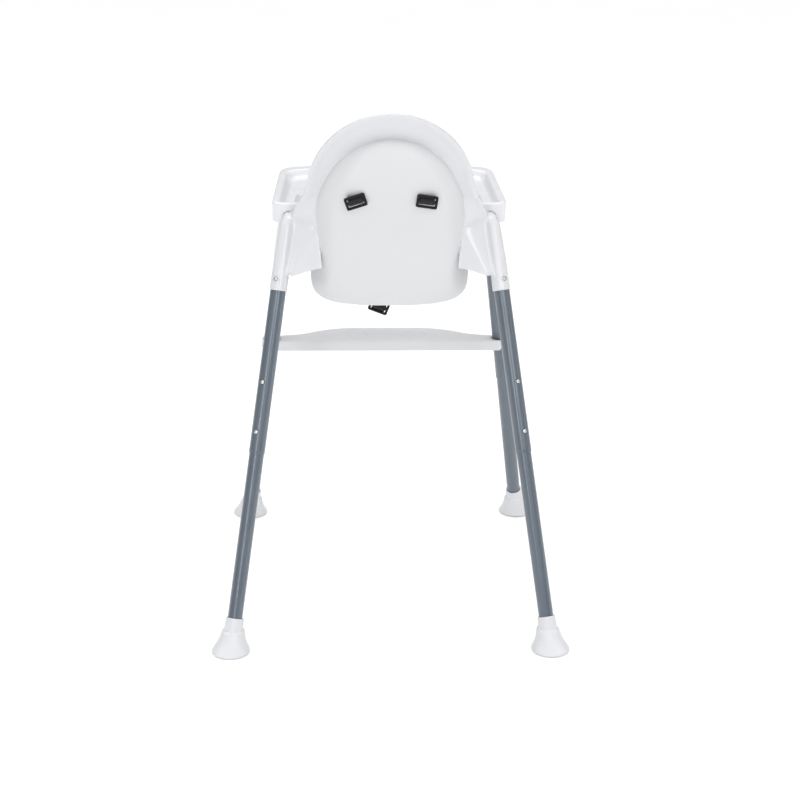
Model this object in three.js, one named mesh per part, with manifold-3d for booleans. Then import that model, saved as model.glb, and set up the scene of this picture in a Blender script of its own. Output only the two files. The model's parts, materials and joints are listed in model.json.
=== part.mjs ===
// Baby high chair: a moulded bucket seat on four splayed telescoping steel legs,
// with a sliding tray, a footrest board and a three-point harness.
// Millimetres, +Z up. The origin is on the floor below the middle of the chair.
// The child faces -Y, so +X is the child's left.
import * as THREE from 'three';
import { mergeVertices } from 'three/addons/utils/BufferGeometryUtils.js';
import { ConvexGeometry } from 'three/addons/geometries/ConvexGeometry.js';
import Module from 'manifold-3d';

const wasm = await Module();
wasm.setup();

// ---- driving dimensions -------------------------------------------------------------
const GAP = 0.3; // clearance between pieces that touch
const SLICE = 20; // facets round a tube

// legs: straight lines from the floor to the rail corners
const LEG_TOP = { x: 174, y: 68.4, z: 690 };
const FOOT_Y = 300;
const FOOT_X = { rear: 273, front: 261 };
const JOINT_Z = 320; // lower end of the upper tube
const UPPER_TOP_Z = 630;
const LOWER_TOP_Z = 447;
const LOWER_BOTTOM_Z = 18;
const UPPER_R = 13.5;
const UPPER_BORE_R = 12.8;
const LOWER_R = 12.5;
const LOWER_BORE_R = 11.3;
const BUTTON_ANGLE = 25; // degrees outboard of straight back or straight ahead
const LEG_BUTTON_Z = { lower: 354, upper: 434 };
const SOCKET_BUTTON_Z = 599;
const BUTTON = { r: 3.4, holeR: 3.9, overLeg: 2.4, overSocket: 2 };
// the bent strip behind each button: its arms' ends, their lowest level and the bend's
const SPRING = { thick: 0.8, width: 6, armTop: 7, armBottom: -12, bend: -17.5, slack: 2.5 };

// feet: (radius, height) outlines of the flare, of the collar up the tube and of the cup below
const FOOT_FLARE = [
  [0, 0], [31.6, 0], [32.6, 2.5], [31.6, 5.5], [27, 11.5], [23, 19], [20.5, 27], [19, 31.5], [16.5, 34], [0, 34],
];
const FOOT_COLLAR = [[0, 12], [15, 12], [15.6, 40], [15.3, 58], [0, 58]];
const FOOT_CUP = [[0, -1], [27.5, -1], [24, 8], [15, 12], [0, 12]];

// seat shell
const WALL = 3;
const RIM_Z = 697; // flat part of the rim, beside the child's hips
const RIM_TOP = { y: 159, z: 896 };
const RIM_FRONT = { y: -107, z: 605 };
const PAN_FRONT_Y = -156;
const BOWL = {
  halfWidth: 135, backDepth: 64.5, middleZ: 620, bottomZ: 546.8, topZ: 850, corner: 2.7, archRound: 2.3, baseRound: 4.8,
};
const BACK_LEAN = 0.46; // how far the back goes rearward for each millimetre up
const HIP_LEAN = 0.16; // the same for the bowl below the rim
const EDGE_R = 4.5; // the rolled edge round the backrest
const SOCKET = { mouthZ: 581, mouthR: 15.2, shoulderZ: 634, shoulderR: 14.7, domeR: 12.8 };
const DOME_Z = { rear: 684, front: 675 };
const RAIL = { r: 10.75, x: 172, z: 690 };
// the folded sheet that carries the backrest down to each rear socket: the lines it is ruled between, from the
// top down. Its fold runs from the last point beside the bowl to the lowest point of the fold.
const WEB = {
  beside: [[118.5, 84.5, 735], [122, 84, 718], [125.3, 84, 702], [128.3, 84, 686.6]],
  outer: [[150, 84, 735], [157.5, 76.5, 718], [165, 69.5, 702], [173, 71, 690]],
  fold: [[128.3, 84, 686.6], [147, 97, 651], [166, 110.5, 614]],
  socket: [[173, 71, 690], [179, 84, 650], [184, 98, 609]],
  bowl: [[127, 80, 686.6], [121.5, 98, 653], [118.5, 105.5, 620]],
};

// harness
const ANCHOR = { x: 59, z: 750 };
const STRAP = { width: 24, thick: 1.4 };
const STRAP_SLOT = { length: 29, height: 9 };
const CROTCH_SLOT_Y = -45;
const GLIDE = { width: 36, height: 24, thick: 3.6, slot: 5, slotZ: 5, y: 151.5, z: 748.5, lean: -0.21 };
const CROTCH_SLIDE_Z = 502;
const BUCKLE = { width: 58, depth: 40, thick: 14, y: -4, z: 560.5 };
const TONGUE = { x: 14.6, width: 28.4, tip: 14, thick: 2.8 };
const RELEASE = { r: 8, y: -6 };

// tray
const TRAY = { rearY: 38, rearRound: 26, cornerY: -219, bow: 17, rearX: 201, frontX: 193, wall: 2.6 };
const TRAY_Z = { top: 715.5, step: 711, floor: 705.5, under: 703, skirt: 681 };
const TRAY_RIM = { width: 12, rear: 7, slope: 7 }; // the flat rim, its rear part, and the step inside it
const BELLY = { halfWidth: 108, depth: 90 };

// footrest
const STEP = { topZ: 407, thick: 19, rearY: -141, frontY: -220, ringR: 18, wall: 2.6, rib: 2.2 };

// ---- materials ----------------------------------------------------------------------
const shellWhite = new THREE.MeshStandardMaterial({ color: 0xf0f0f1, roughness: 0.3 });
const footWhite = new THREE.MeshStandardMaterial({ color: 0xe9e9ea, roughness: 0.4 });
const slateTube = new THREE.MeshStandardMaterial({ color: 0x74818c, roughness: 0.32, metalness: 0.4 });
const nickel = new THREE.MeshStandardMaterial({ color: 0xc9c4b8, roughness: 0.22, metalness: 1 });
const blackPlastic = new THREE.MeshStandardMaterial({ color: 0x141416, roughness: 0.45 });
const blackWebbing = new THREE.MeshStandardMaterial({ color: 0x18181a, roughness: 0.9 });

// ---- solid modelling helpers --------------------------------------------------------
function toSolid(geometry) {
  const plain = geometry.clone();
  plain.deleteAttribute('normal');
  plain.deleteAttribute('uv');
  const merged = mergeVertices(plain, 1e-4);
  const vertProperties = new Float32Array(merged.attributes.position.array);
  const triVerts = new Uint32Array(merged.index.array);
  return new wasm.Manifold(new wasm.Mesh({ numProp: 3, vertProperties, triVerts }));
}

function toGeometry(solid) {
  const mesh = solid.getMesh();
  const geometry = new THREE.BufferGeometry();
  geometry.setAttribute('position', new THREE.BufferAttribute(mesh.vertProperties, 3));
  geometry.setIndex(new THREE.BufferAttribute(mesh.triVerts, 1));
  geometry.computeVertexNormals();
  return geometry;
}

function join(...solids) {
  return solids.reduce((whole, next) => whole.add(next));
}

function cut(solid, ...tools) {
  return tools.reduce((rest, tool) => rest.subtract(tool), solid);
}

function box(width, depth, height, x, y, z, tilt = 0) {
  const geometry = new THREE.BoxGeometry(width, depth, height);
  geometry.rotateX(tilt);
  return toSolid(geometry.translate(x, y, z));
}

// a solid of revolution about Z from (radius, height) pairs that start and end on the axis
function turned(profile, segments = SLICE) {
  const points = profile.map(([r, z]) => new THREE.Vector2(r, z));
  return new THREE.LatheGeometry(points, segments).rotateX(Math.PI / 2);
}

function bar(radius, low, high, segments = SLICE) {
  return turned([[0, low], [radius, low], [radius, high], [0, high]], segments);
}

// extrudes an outline drawn in X and Z towards -Y, from yHigh down to yLow
function plateXZ(points, yLow, yHigh) {
  const shape = new THREE.Shape(points.map(([x, z]) => new THREE.Vector2(x, z)));
  const geometry = new THREE.ExtrudeGeometry(shape, { depth: yHigh - yLow, bevelEnabled: false });
  return geometry.rotateX(Math.PI / 2).translate(0, yHigh, 0);
}

// extrudes an outline drawn in Y and Z along X
function plateYZ(points, xLow, xHigh) {
  const shape = new THREE.Shape(points.map(([y, z]) => new THREE.Vector2(y, z)));
  const geometry = new THREE.ExtrudeGeometry(shape, { depth: xHigh - xLow, bevelEnabled: false });
  const turn = new THREE.Matrix4().makeBasis(
    new THREE.Vector3(0, 1, 0),
    new THREE.Vector3(0, 0, 1),
    new THREE.Vector3(1, 0, 0),
  );
  return geometry.applyMatrix4(turn).translate(xLow, 0, 0);
}

function plateXY(shape, zLow, zHigh) {
  const options = { depth: zHigh - zLow, bevelEnabled: false, curveSegments: 6 };
  return new THREE.ExtrudeGeometry(shape, options).translate(0, 0, zLow);
}

// a line of [a, b] points moved sideways, to the left of its direction
function beside(line, distance) {
  return line.map(([a, b], i) => {
    const before = line[Math.max(i - 1, 0)];
    const after = line[Math.min(i + 1, line.length - 1)];
    const along = new THREE.Vector2(after[0] - before[0], after[1] - before[1]).normalize();
    return [a - along.y * distance, b + along.x * distance];
  });
}

// the outline of a strip of even thickness along a line
function strip(line, thickness) {
  return [...beside(line, thickness / 2), ...beside(line, -thickness / 2).reverse()].reverse();
}

// a smooth line through a few [a, b] points
function smooth(points, count) {
  const curve = new THREE.SplineCurve(points.map(([a, b]) => new THREE.Vector2(a, b)));
  return curve.getPoints(count).map((p) => [p.x, p.y]);
}

// ---- the chair and its pieces -------------------------------------------------------
const chair = new THREE.Group();

function add(name, geometry, material, parent = chair) {
  const mesh = new THREE.Mesh(geometry, material);
  mesh.name = name;
  parent.add(mesh);
  return mesh;
}

// ---- legs ---------------------------------------------------------------------------
const LEGS = ['rear_left', 'rear_right', 'front_left', 'front_right'].map((name) => {
  const row = name.startsWith('rear') ? 'rear' : 'front';
  const back = row === 'rear' ? 1 : -1;
  const side = name.endsWith('left') ? 1 : -1;
  const foot = new THREE.Vector3(side * FOOT_X[row], back * FOOT_Y, 0);
  const top = new THREE.Vector3(side * LEG_TOP.x, back * LEG_TOP.y, LEG_TOP.z);
  const axis = top.clone().sub(foot);
  const stretch = axis.length() / LEG_TOP.z;
  axis.normalize();
  const turn = THREE.MathUtils.degToRad(BUTTON_ANGLE);
  const outward = new THREE.Vector3(side * Math.sin(turn), back * Math.cos(turn), 0);
  outward.addScaledVector(axis, -outward.dot(axis)).normalize();
  const across = outward.clone().cross(axis);
  const tilt = new THREE.Matrix4().makeBasis(across, outward, axis);
  const place = tilt.clone().setPosition(foot);
  // the distance up the leg from the floor at a given height
  const up = (z) => z * stretch;
  return { name, side, back, foot, axis, tilt, place, up };
});

function inLeg(leg, geometry) {
  return toSolid(geometry.applyMatrix4(leg.place));
}

// a round hole through one side of a tube, towards the leg's +Y
function buttonHole(leg, z) {
  const hole = bar(BUTTON.holeR, UPPER_R / 2, 2 * UPPER_R, 12).rotateX(-Math.PI / 2);
  return toSolid(hole.translate(0, 0, leg.up(z)));
}

function upperTube(leg) {
  const low = leg.up(JOINT_Z);
  const high = leg.up(UPPER_TOP_Z);
  const outside = turned([[0, low], [UPPER_R - 0.5, low], [UPPER_R, low + 0.7], [UPPER_R, high], [0, high]]);
  const bore = toSolid(bar(UPPER_BORE_R, low - 1, high + 1));
  const holes = [LEG_BUTTON_Z.lower, LEG_BUTTON_Z.upper, SOCKET_BUTTON_Z].map((z) => buttonHole(leg, z));
  return toGeometry(cut(toSolid(outside), bore, ...holes));
}

function lowerTube(leg) {
  const low = leg.up(LOWER_BOTTOM_Z);
  const high = leg.up(LOWER_TOP_Z);
  const bore = toSolid(bar(LOWER_BORE_R, low - 1, high + 1));
  const holes = [LEG_BUTTON_Z.lower, LEG_BUTTON_Z.upper].map((z) => buttonHole(leg, z));
  return toGeometry(cut(toSolid(bar(LOWER_R, low, high)), bore, ...holes));
}

// one bent spring-steel strip with a domed button riveted near its free end
function snapClip(tubeBoreR, proud) {
  const arm = tubeBoreR - SPRING.slack;
  const far = 1.5 * SPRING.thick - tubeBoreR;
  const top = [[arm, SPRING.armTop], [arm, SPRING.armBottom], [arm * 0.6, SPRING.bend]];
  const line = [...top, [far * 0.6, SPRING.bend], [far, SPRING.armBottom], [far, SPRING.armTop]];
  const spring = toSolid(plateYZ(strip(line, SPRING.thick), -SPRING.width / 2, SPRING.width / 2));
  const stem = proud - 2;
  const dome = [[0, arm], [BUTTON.r, arm], [BUTTON.r, stem], [BUTTON.r * 0.7, stem + 1.5]];
  const head = turned([...dome, [0, proud]], 10);
  return toGeometry(join(spring, toSolid(head.rotateX(-Math.PI / 2))));
}

// slants a geometry so that its level sections follow the leg up from the origin
function leaning(leg, geometry) {
  return geometry.applyMatrix4(new THREE.Matrix4().set(
    1, 0, leg.axis.x / leg.axis.z, 0,
    0, 1, leg.axis.y / leg.axis.z, 0,
    0, 0, 1, 0,
    0, 0, 0, 1,
  ));
}

// a flared foot of level circles, with a collar up the tube and a hollow below
function footShape(leg) {
  const flare = toSolid(leaning(leg, turned(FOOT_FLARE)));
  const collar = toSolid(turned(FOOT_COLLAR).applyMatrix4(leg.tilt));
  const cup = toSolid(leaning(leg, turned(FOOT_CUP)));
  const bore = toSolid(bar(LOWER_R + GAP, leg.up(LOWER_BOTTOM_Z) - GAP, 70).applyMatrix4(leg.tilt));
  return toGeometry(cut(join(flare, collar), cup, bore));
}

for (const leg of LEGS) {
  const frame = new THREE.Group();
  leg.place.decompose(frame.position, frame.quaternion, frame.scale);
  chair.add(frame);
  add(`upper_tube_${leg.name}`, upperTube(leg), slateTube, frame);
  add(`lower_tube_${leg.name}`, lowerTube(leg), slateTube, frame);
  for (const [end, z] of Object.entries(LEG_BUTTON_Z)) {
    const clip = snapClip(LOWER_BORE_R, UPPER_R + BUTTON.overLeg);
    add(`leg_snap_clip_${leg.name}_${end}`, clip, nickel, frame).position.z = leg.up(z);
  }
  const socketClip = snapClip(UPPER_BORE_R, SOCKET.mouthR + BUTTON.overSocket);
  add(`seat_snap_clip_${leg.name}`, socketClip, nickel, frame).position.z = leg.up(SOCKET_BUTTON_Z);
  add(`foot_${leg.name}`, footShape(leg), footWhite).position.copy(leg.foot);
}

// ---- seat shell ---------------------------------------------------------------------
// the middle of the bowl's section at a height: it leans back with the backrest
function bowlMiddleY(z) {
  const lean = z > RIM_Z ? BACK_LEAN : HIP_LEAN;
  return LEG_TOP.y + lean * (z - RIM_Z);
}

// a closed body with the bowl's outer shape, made smaller all round by inset
function bowlBody(inset) {
  const geometry = new THREE.SphereGeometry(1, 30, 20);
  const points = geometry.attributes.position;
  const power = (value, exponent) => Math.sign(value) * Math.abs(value) ** exponent;
  for (let i = 0; i < points.count; i += 1) {
    const rise = THREE.MathUtils.clamp(points.getY(i), -1, 1);
    const spread = Math.sqrt(1 - rise * rise);
    const squareness = rise > 0 ? BOWL.archRound : BOWL.baseRound;
    const height = (rise > 0 ? BOWL.topZ - BOWL.middleZ : BOWL.middleZ - BOWL.bottomZ) - inset;
    const size = spread ** (2 / squareness);
    const z = BOWL.middleZ + height * power(rise, 2 / squareness);
    const around = Math.atan2(-points.getZ(i), points.getX(i));
    const depth = Math.sin(around) > 0 ? BOWL.backDepth : bowlMiddleY(BOWL.middleZ) - PAN_FRONT_Y;
    const x = (BOWL.halfWidth - inset) * power(Math.cos(around), 2 / BOWL.corner) * size;
    const y = bowlMiddleY(z) + (depth - inset) * power(Math.sin(around), 2 / BOWL.corner) * size;
    points.setXYZ(i, x, y, z);
  }
  return toSolid(geometry);
}

// the rim seen from the side: up the front legs, back along the hips and up the backrest
const RIM_LINE = [
  [RIM_FRONT.y, RIM_FRONT.z],
  [-LEG_TOP.y - 4, RIM_Z - 10],
  [-LEG_TOP.y + 6, RIM_Z - 1],
  [LEG_TOP.y - 14, RIM_Z],
  [LEG_TOP.y, RIM_Z + 4],
  [RIM_TOP.y, RIM_TOP.z],
];

// everything below and behind the rim line
function belowRim() {
  const corners = [[RIM_TOP.y, 980], [300, 980], [300, 500], [-200, 500], [-200, RIM_FRONT.z - 5]];
  return toSolid(plateYZ([...RIM_LINE, ...corners].reverse(), -220, 220));
}

// the rim's outline seen from behind: an arch that widens down to the leg tops
function rimOutline() {
  const arch = [];
  const middle = RIM_TOP.z - 146;
  for (let step = 0; step <= 14; step += 1) {
    const turn = THREE.MathUtils.degToRad(4 + (86 * step) / 14);
    arch.push([140 * Math.cos(turn), middle + 147 * Math.sin(turn)]);
  }
  const foot = [[178.5, 600], [173, 690], [165, 703], [153, 730], [145, 747]];
  const right = [...foot, ...arch];
  const left = right.slice(0, -1).map(([x, z]) => [-x, z]).reverse();
  return [...right, ...left];
}

// the rolled edge of the rim, round the backrest from one hip rail to the other
function rolledEdge() {
  const line = beside(rimOutline().filter(([, z]) => z > RIM_Z - 10), EDGE_R);
  const lean = (RIM_TOP.y - LEG_TOP.y) / (RIM_TOP.z - RIM_Z - 4);
  const points = line.map(([x, z]) => {
    return new THREE.Vector3(x, LEG_TOP.y + WALL / 2 + lean * (z - RIM_Z - 4), z);
  });
  const round = new THREE.Shape().absarc(0, 0, EDGE_R, 0, 2 * Math.PI);
  const options = { extrudePath: new THREE.CatmullRomCurve3(points), steps: 48, curveSegments: 5, bevelEnabled: false };
  return toSolid(new THREE.ExtrudeGeometry(round, options));
}

function rearWeb(side) {
  const panel = (edges) => {
    const corners = [];
    for (const [x, y, z] of edges.flat()) {
      corners.push(new THREE.Vector3(side * x, y - WALL / 2, z));
      corners.push(new THREE.Vector3(side * x, y + WALL / 2, z));
    }
    return toSolid(new ConvexGeometry(corners));
  };
  const ruled = (first, second) => {
    const strips = [];
    for (let i = 0; i + 1 < first.length; i += 1) {
      strips.push(panel([first.slice(i, i + 2), second.slice(i, i + 2)]));
    }
    return strips;
  };
  return join(...ruled(WEB.beside, WEB.outer), ...ruled(WEB.fold, WEB.socket), ...ruled(WEB.fold, WEB.bowl));
}

// the round end of a bar as (radius, height) pairs, from its widest level to its tip
function roundEnd(radius, level) {
  return [0, 30, 60, 90].map((degrees) => {
    const turn = THREE.MathUtils.degToRad(degrees);
    return [radius * Math.cos(turn), level + radius * Math.sin(turn)];
  });
}

function socketOutside(leg) {
  const mouth = leg.up(SOCKET.mouthZ);
  const dome = leg.up(leg.back > 0 ? DOME_Z.rear : DOME_Z.front);
  const wall = [[0, mouth], [SOCKET.mouthR, mouth], [SOCKET.shoulderR, leg.up(SOCKET.shoulderZ)]];
  const body = inLeg(leg, turned([...wall, ...roundEnd(SOCKET.domeR, dome)]));
  const boss = bar(BUTTON.holeR + 2.4, 12, SOCKET.mouthR + 0.9, 12).rotateX(-Math.PI / 2);
  return join(body, inLeg(leg, boss.translate(0, 0, leg.up(SOCKET_BUTTON_Z))));
}

function socketInside(leg) {
  const low = leg.up(SOCKET.mouthZ) - 1;
  const bore = inLeg(leg, bar(UPPER_R + GAP, low, leg.up(UPPER_TOP_Z) + GAP));
  const hole = bar(BUTTON.holeR, UPPER_R / 2, 2 * UPPER_R, 12).rotateX(-Math.PI / 2);
  return join(bore, inLeg(leg, hole.translate(0, 0, leg.up(SOCKET_BUTTON_Z))));
}

function rail(side) {
  const rearEnd = roundEnd(RAIL.r, LEG_TOP.y);
  const frontEnd = rearEnd.map(([r, along]) => [r, -along]).reverse();
  const round = turned([...frontEnd, ...rearEnd]).rotateX(-Math.PI / 2);
  return toSolid(round.translate(side * RAIL.x, 0, RAIL.z));
}

function seatShell() {
  const rimSheet = toSolid(plateYZ(strip(RIM_LINE, WALL), -220, 220));
  const rim = rimSheet.intersect(toSolid(plateXZ(rimOutline(), -200, 200)));
  const bowl = bowlBody(0).intersect(belowRim());
  const webs = [rearWeb(1), rearWeb(-1)];
  const outside = join(bowl, rim, rolledEdge(), rail(1), rail(-1), ...webs, ...LEGS.map(socketOutside));
  const slots = [
    box(STRAP_SLOT.length, 60, STRAP_SLOT.height, ANCHOR.x, GLIDE.y, ANCHOR.z + 5),
    box(STRAP_SLOT.length, 60, STRAP_SLOT.height, -ANCHOR.x, GLIDE.y, ANCHOR.z + 5),
    box(STRAP.width + 3, 5, 40, 0, CROTCH_SLOT_Y, BOWL.bottomZ),
  ];
  return toGeometry(cut(outside, bowlBody(WALL), ...LEGS.map(socketInside), ...slots));
}

add('seat_shell', seatShell(), shellWhite);

// ---- footrest -----------------------------------------------------------------------
// a point on a leg's axis at a height
function onLeg(leg, z) {
  return leg.foot.clone().addScaledVector(leg.axis, leg.up(z));
}

function footrest() {
  const middleZ = STEP.topZ - STEP.thick / 2;
  const low = STEP.topZ - STEP.thick;
  const legs = LEGS.filter((leg) => leg.back < 0);
  const at = onLeg(legs[0], middleZ);
  const curve = [[at.x - 8, at.y - 8], [155, -186], [120, -206], [75, STEP.frontY], [0, STEP.frontY - 1]];
  const half = [[0, STEP.rearY], [at.x, STEP.rearY], ...smooth(curve, 10)];
  const mirrored = half.slice(1, -1).map(([x, y]) => [-x, y]).reverse();
  const loop = [...half, ...mirrored].map(([x, y]) => new THREE.Vector2(x, y)).reverse();
  const board = toSolid(plateXY(new THREE.Shape(loop), low, STEP.topZ));
  const middleY = (STEP.rearY + STEP.frontY) / 2;
  const narrower = 1 - (2 * STEP.wall) / (STEP.rearY - STEP.frontY);
  const hollow = plateXY(new THREE.Shape(loop), low - 1, STEP.topZ - STEP.wall);
  hollow.translate(0, -middleY, 0).scale(0.985, narrower, 1).translate(0, middleY, 0);
  const rings = legs.map((leg) => {
    return toSolid(leaning(leg, bar(STEP.ringR, low, STEP.topZ)).translate(leg.foot.x, leg.foot.y, 0));
  });
  const bores = legs.map((leg) => inLeg(leg, bar(UPPER_R + 0.6, leg.up(low) - 20, leg.up(STEP.topZ) + 20)));
  const ribs = [-110, -55, 0, 55, 110].map((x) => {
    const rib = box(STEP.rib, STEP.rearY - STEP.frontY, STEP.thick - 3, x, middleY, middleZ + 0.5);
    return rib.intersect(board);
  });
  return toGeometry(cut(join(cut(board, toSolid(hollow)), ...ribs, ...rings), ...bores));
}

add('footrest', footrest(), shellWhite);

// ---- tray ---------------------------------------------------------------------------
// the tray's outline seen from above, drawn in by inset, with a bay for the child's belly
function trayOutline(inset, rearInset = inset) {
  const rear = TRAY.rearY - rearInset;
  const bay = BELLY.halfWidth + inset;
  const bayY = rear - BELLY.depth;
  const side = TRAY.rearX - inset;
  const frontSide = TRAY.frontX - inset;
  const corner = TRAY.cornerY + inset;
  const round = TRAY.rearRound - inset * 0.6;
  const shape = new THREE.Shape();
  shape.moveTo(side, rear - round);
  shape.quadraticCurveTo(side, rear, side - round, rear);
  shape.lineTo(bay + 4, rear);
  shape.bezierCurveTo(bay - 6, rear - BELLY.depth * 0.9, bay * 0.7, bayY, 0, bayY);
  shape.bezierCurveTo(-bay * 0.7, bayY, 6 - bay, rear - BELLY.depth * 0.9, -bay - 4, rear);
  shape.lineTo(round - side, rear);
  shape.quadraticCurveTo(-side, rear, -side, rear - round);
  shape.lineTo(-frontSide, corner + 40);
  shape.quadraticCurveTo(-frontSide, corner, 40 - frontSide, corner - 4);
  shape.quadraticCurveTo(0, corner - 2 * TRAY.bow + 4, frontSide - 40, corner - 4);
  shape.quadraticCurveTo(frontSide, corner, frontSide, corner + 40);
  return shape;
}

function tray() {
  const slope = TRAY_RIM.width + TRAY_RIM.slope;
  const body = toSolid(plateXY(trayOutline(0), TRAY_Z.skirt, TRAY_Z.top));
  const step = toSolid(plateXY(trayOutline(TRAY_RIM.width, TRAY_RIM.rear), TRAY_Z.step, TRAY_Z.top + 1));
  const recess = toSolid(plateXY(trayOutline(slope, TRAY_RIM.rear + 4), TRAY_Z.floor, TRAY_Z.top));
  const under = toSolid(plateXY(trayOutline(TRAY.wall), TRAY_Z.skirt - 1, TRAY_Z.under));
  const archR = RAIL.r + 3 * GAP;
  const arches = [1, -1].map((side) => {
    const arch = bar(archR, -60, 20, 20).rotateX(Math.PI / 2);
    const round = toSolid(arch.translate(side * RAIL.x, 0, RAIL.z));
    return join(round, box(2 * archR, 80, 20, side * RAIL.x, 20, RAIL.z - 10));
  });
  const overHips = box(2 * LEG_TOP.x, 120, 30, 0, TRAY.rearY - BELLY.depth + 40, TRAY_Z.under - 15);
  return toGeometry(cut(body, step, recess, under, overHips, ...arches));
}

add('tray', tray(), shellWhite);

// ---- harness ------------------------------------------------------------------------
function roundedPlate(width, height, corner, zLow, zHigh) {
  const [x, y] = [width / 2, height / 2];
  const shape = new THREE.Shape();
  shape.moveTo(corner - x, -y);
  shape.lineTo(x - corner, -y);
  shape.quadraticCurveTo(x, -y, x, corner - y);
  shape.lineTo(x, y - corner);
  shape.quadraticCurveTo(x, y, x - corner, y);
  shape.lineTo(corner - x, y);
  shape.quadraticCurveTo(-x, y, -x, y - corner);
  shape.lineTo(-x, corner - y);
  shape.quadraticCurveTo(-x, -y, corner - x, -y);
  return plateXY(shape, zLow, zHigh);
}

// a strap slide: a plate in the X and Z plane with two slots across it
function triGlide() {
  const plate = roundedPlate(GLIDE.width, GLIDE.height, 4, -GLIDE.thick / 2, GLIDE.thick / 2);
  const slots = [1, -1].map((end) => box(STRAP.width + 3, 10, GLIDE.slot, 0, 0, end * GLIDE.slotZ));
  return toGeometry(cut(toSolid(plate.rotateX(Math.PI / 2)), ...slots));
}

// webbing whose side view is a line in Y and Z; move shifts each point of it sideways
function webbing(line, move) {
  const half = STRAP.width / 2;
  const geometry = plateYZ(strip(line, STRAP.thick), -half, half);
  const points = geometry.attributes.position;
  const point = new THREE.Vector3();
  for (let i = 0; i < points.count; i += 1) {
    point.fromBufferAttribute(points, i);
    move(point);
    points.setXYZ(i, point.x, point.y, point.z);
  }
  return toGeometry(toSolid(geometry));
}

function turnAbout(point, middle, angle) {
  point.sub(middle).applyAxisAngle(new THREE.Vector3(0, 1, 0), angle).add(middle);
}

const ramp = (value, start, end) => THREE.MathUtils.clamp((value - start) / (end - start), 0, 1);

// the way webbing threads a slide: in at the top, over the middle bar and back at the bottom,
// as distances out from the slide's middle plane and up it
const SLIDE_LOOP = [
  [-1.2, 5.4], [1.6, 4.9], [3.1, 3.2], [3.3, 0], [3.1, -3.2], [1.6, -4.9],
  [-1.2, -5.2], [-3, -7.4], [-3.1, -11], [-2.9, -16],
];

function threadSlide(y, z, lean) {
  return SLIDE_LOOP.map(([out, up]) => [
    y + out * Math.cos(lean) - up * Math.sin(lean),
    z + out * Math.sin(lean) + up * Math.cos(lean),
  ]);
}

// from a loop on its tongue, along the pan and up the back, through the shell and round its slide
const SIDE_STRAP_LINE = smooth([
  [34, 556.4], [27, 556.2], [23, 557.6], [22.4, 560.5], [23.2, 563], [27, 564.6], [36, 563.6],
  [60, 557], [83, 556.6], [94.5, 563.5], [101.5, 576.5], [106.5, 600], [113.5, 645], [119.2, 697],
  [128.2, 735], [132.6, 748.3], [138, 754.6], [147.1, 755.4],
  ...threadSlide(GLIDE.y, GLIDE.z, GLIDE.lean),
], 54);

function sideStrap(side, slideTilt) {
  const slide = new THREE.Vector3(side * ANCHOR.x, GLIDE.y, GLIDE.z);
  return webbing(SIDE_STRAP_LINE, (point) => {
    const share = ramp(point.y, 36, 128);
    point.x += side * (TONGUE.x + (ANCHOR.x - TONGUE.x) * share);
    const behindShell = point.y > 143.6 && point.z < slide.z - 4;
    turnAbout(point, slide, slideTilt * (behindShell ? 1 : ramp(point.y, 143, 149)));
  });
}

const SLIDE_TILT = { left: THREE.MathUtils.degToRad(18), right: THREE.MathUtils.degToRad(-8) };
for (const [name, side] of [['left', 1], ['right', -1]]) {
  add(`side_strap_${name}`, sideStrap(side, SLIDE_TILT[name]), blackWebbing);
  const slide = add(`strap_slide_${name}`, triGlide(), blackPlastic);
  slide.position.set(side * ANCHOR.x, GLIDE.y, GLIDE.z);
  slide.rotation.set(GLIDE.lean, SLIDE_TILT[name], 0, 'YXZ');
}

const CROTCH_SWING = new THREE.Vector3(0, CROTCH_SLOT_Y, 545);
const CROTCH_TILT = THREE.MathUtils.degToRad(-21);
const CROTCH_LINE = smooth([
  [-17.5, 559], [-25, 559], [-35, 557.5], [-42, 554], [-45, 548.5], [-46, 540], [-48.2, 526],
  [-48.6, 514], [-47.6, 509], ...threadSlide(CROTCH_SLOT_Y, CROTCH_SLIDE_Z, 0),
], 36);

const crotchStrap = webbing(CROTCH_LINE, (point) => {
  turnAbout(point, CROTCH_SWING, CROTCH_TILT * ramp(point.z, 545, 527));
});
add('crotch_strap', crotchStrap, blackWebbing);

const crotchSlide = add('strap_slide_crotch', triGlide(), blackPlastic);
const hang = new THREE.Vector3(0, CROTCH_SLOT_Y, CROTCH_SLIDE_Z);
turnAbout(hang, CROTCH_SWING, CROTCH_TILT);
crotchSlide.position.copy(hang);
crotchSlide.rotation.y = CROTCH_TILT;

function buckleBody() {
  const low = BUCKLE.z - BUCKLE.thick / 2;
  const high = BUCKLE.z + BUCKLE.thick / 2;
  const plate = toSolid(roundedPlate(BUCKLE.width, BUCKLE.depth, 9, low, high).translate(0, BUCKLE.y, 0));
  const back = BUCKLE.y + BUCKLE.depth / 2;
  const front = BUCKLE.y - BUCKLE.depth / 2;
  const tongueSlots = [1, -1].map((side) => {
    return box(TONGUE.tip + 1, 22, TONGUE.thick + 1, side * TONGUE.x, back, BUCKLE.z);
  });
  const webSlot = box(STRAP.width + 2, 16, STRAP.thick + 1.4, 0, front, BUCKLE.z - 1.5);
  const well = toSolid(bar(RELEASE.r + GAP, high - 9, high + 1).translate(0, RELEASE.y, 0));
  return toGeometry(cut(plate, ...tongueSlots, webSlot, well));
}

function tongue() {
  const low = -TONGUE.thick / 2;
  const back = BUCKLE.y + BUCKLE.depth / 2;
  const frame = toSolid(roundedPlate(TONGUE.width, 14.4, 3, low, -low).translate(0, back + 7.8, 0));
  const slot = box(STRAP.width + 1, 6, 10, 0, back + 7.6, 0);
  const tip = box(TONGUE.tip, 12, TONGUE.thick, 0, back - 3, 0);
  return toGeometry(join(cut(frame, slot), tip));
}

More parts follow.
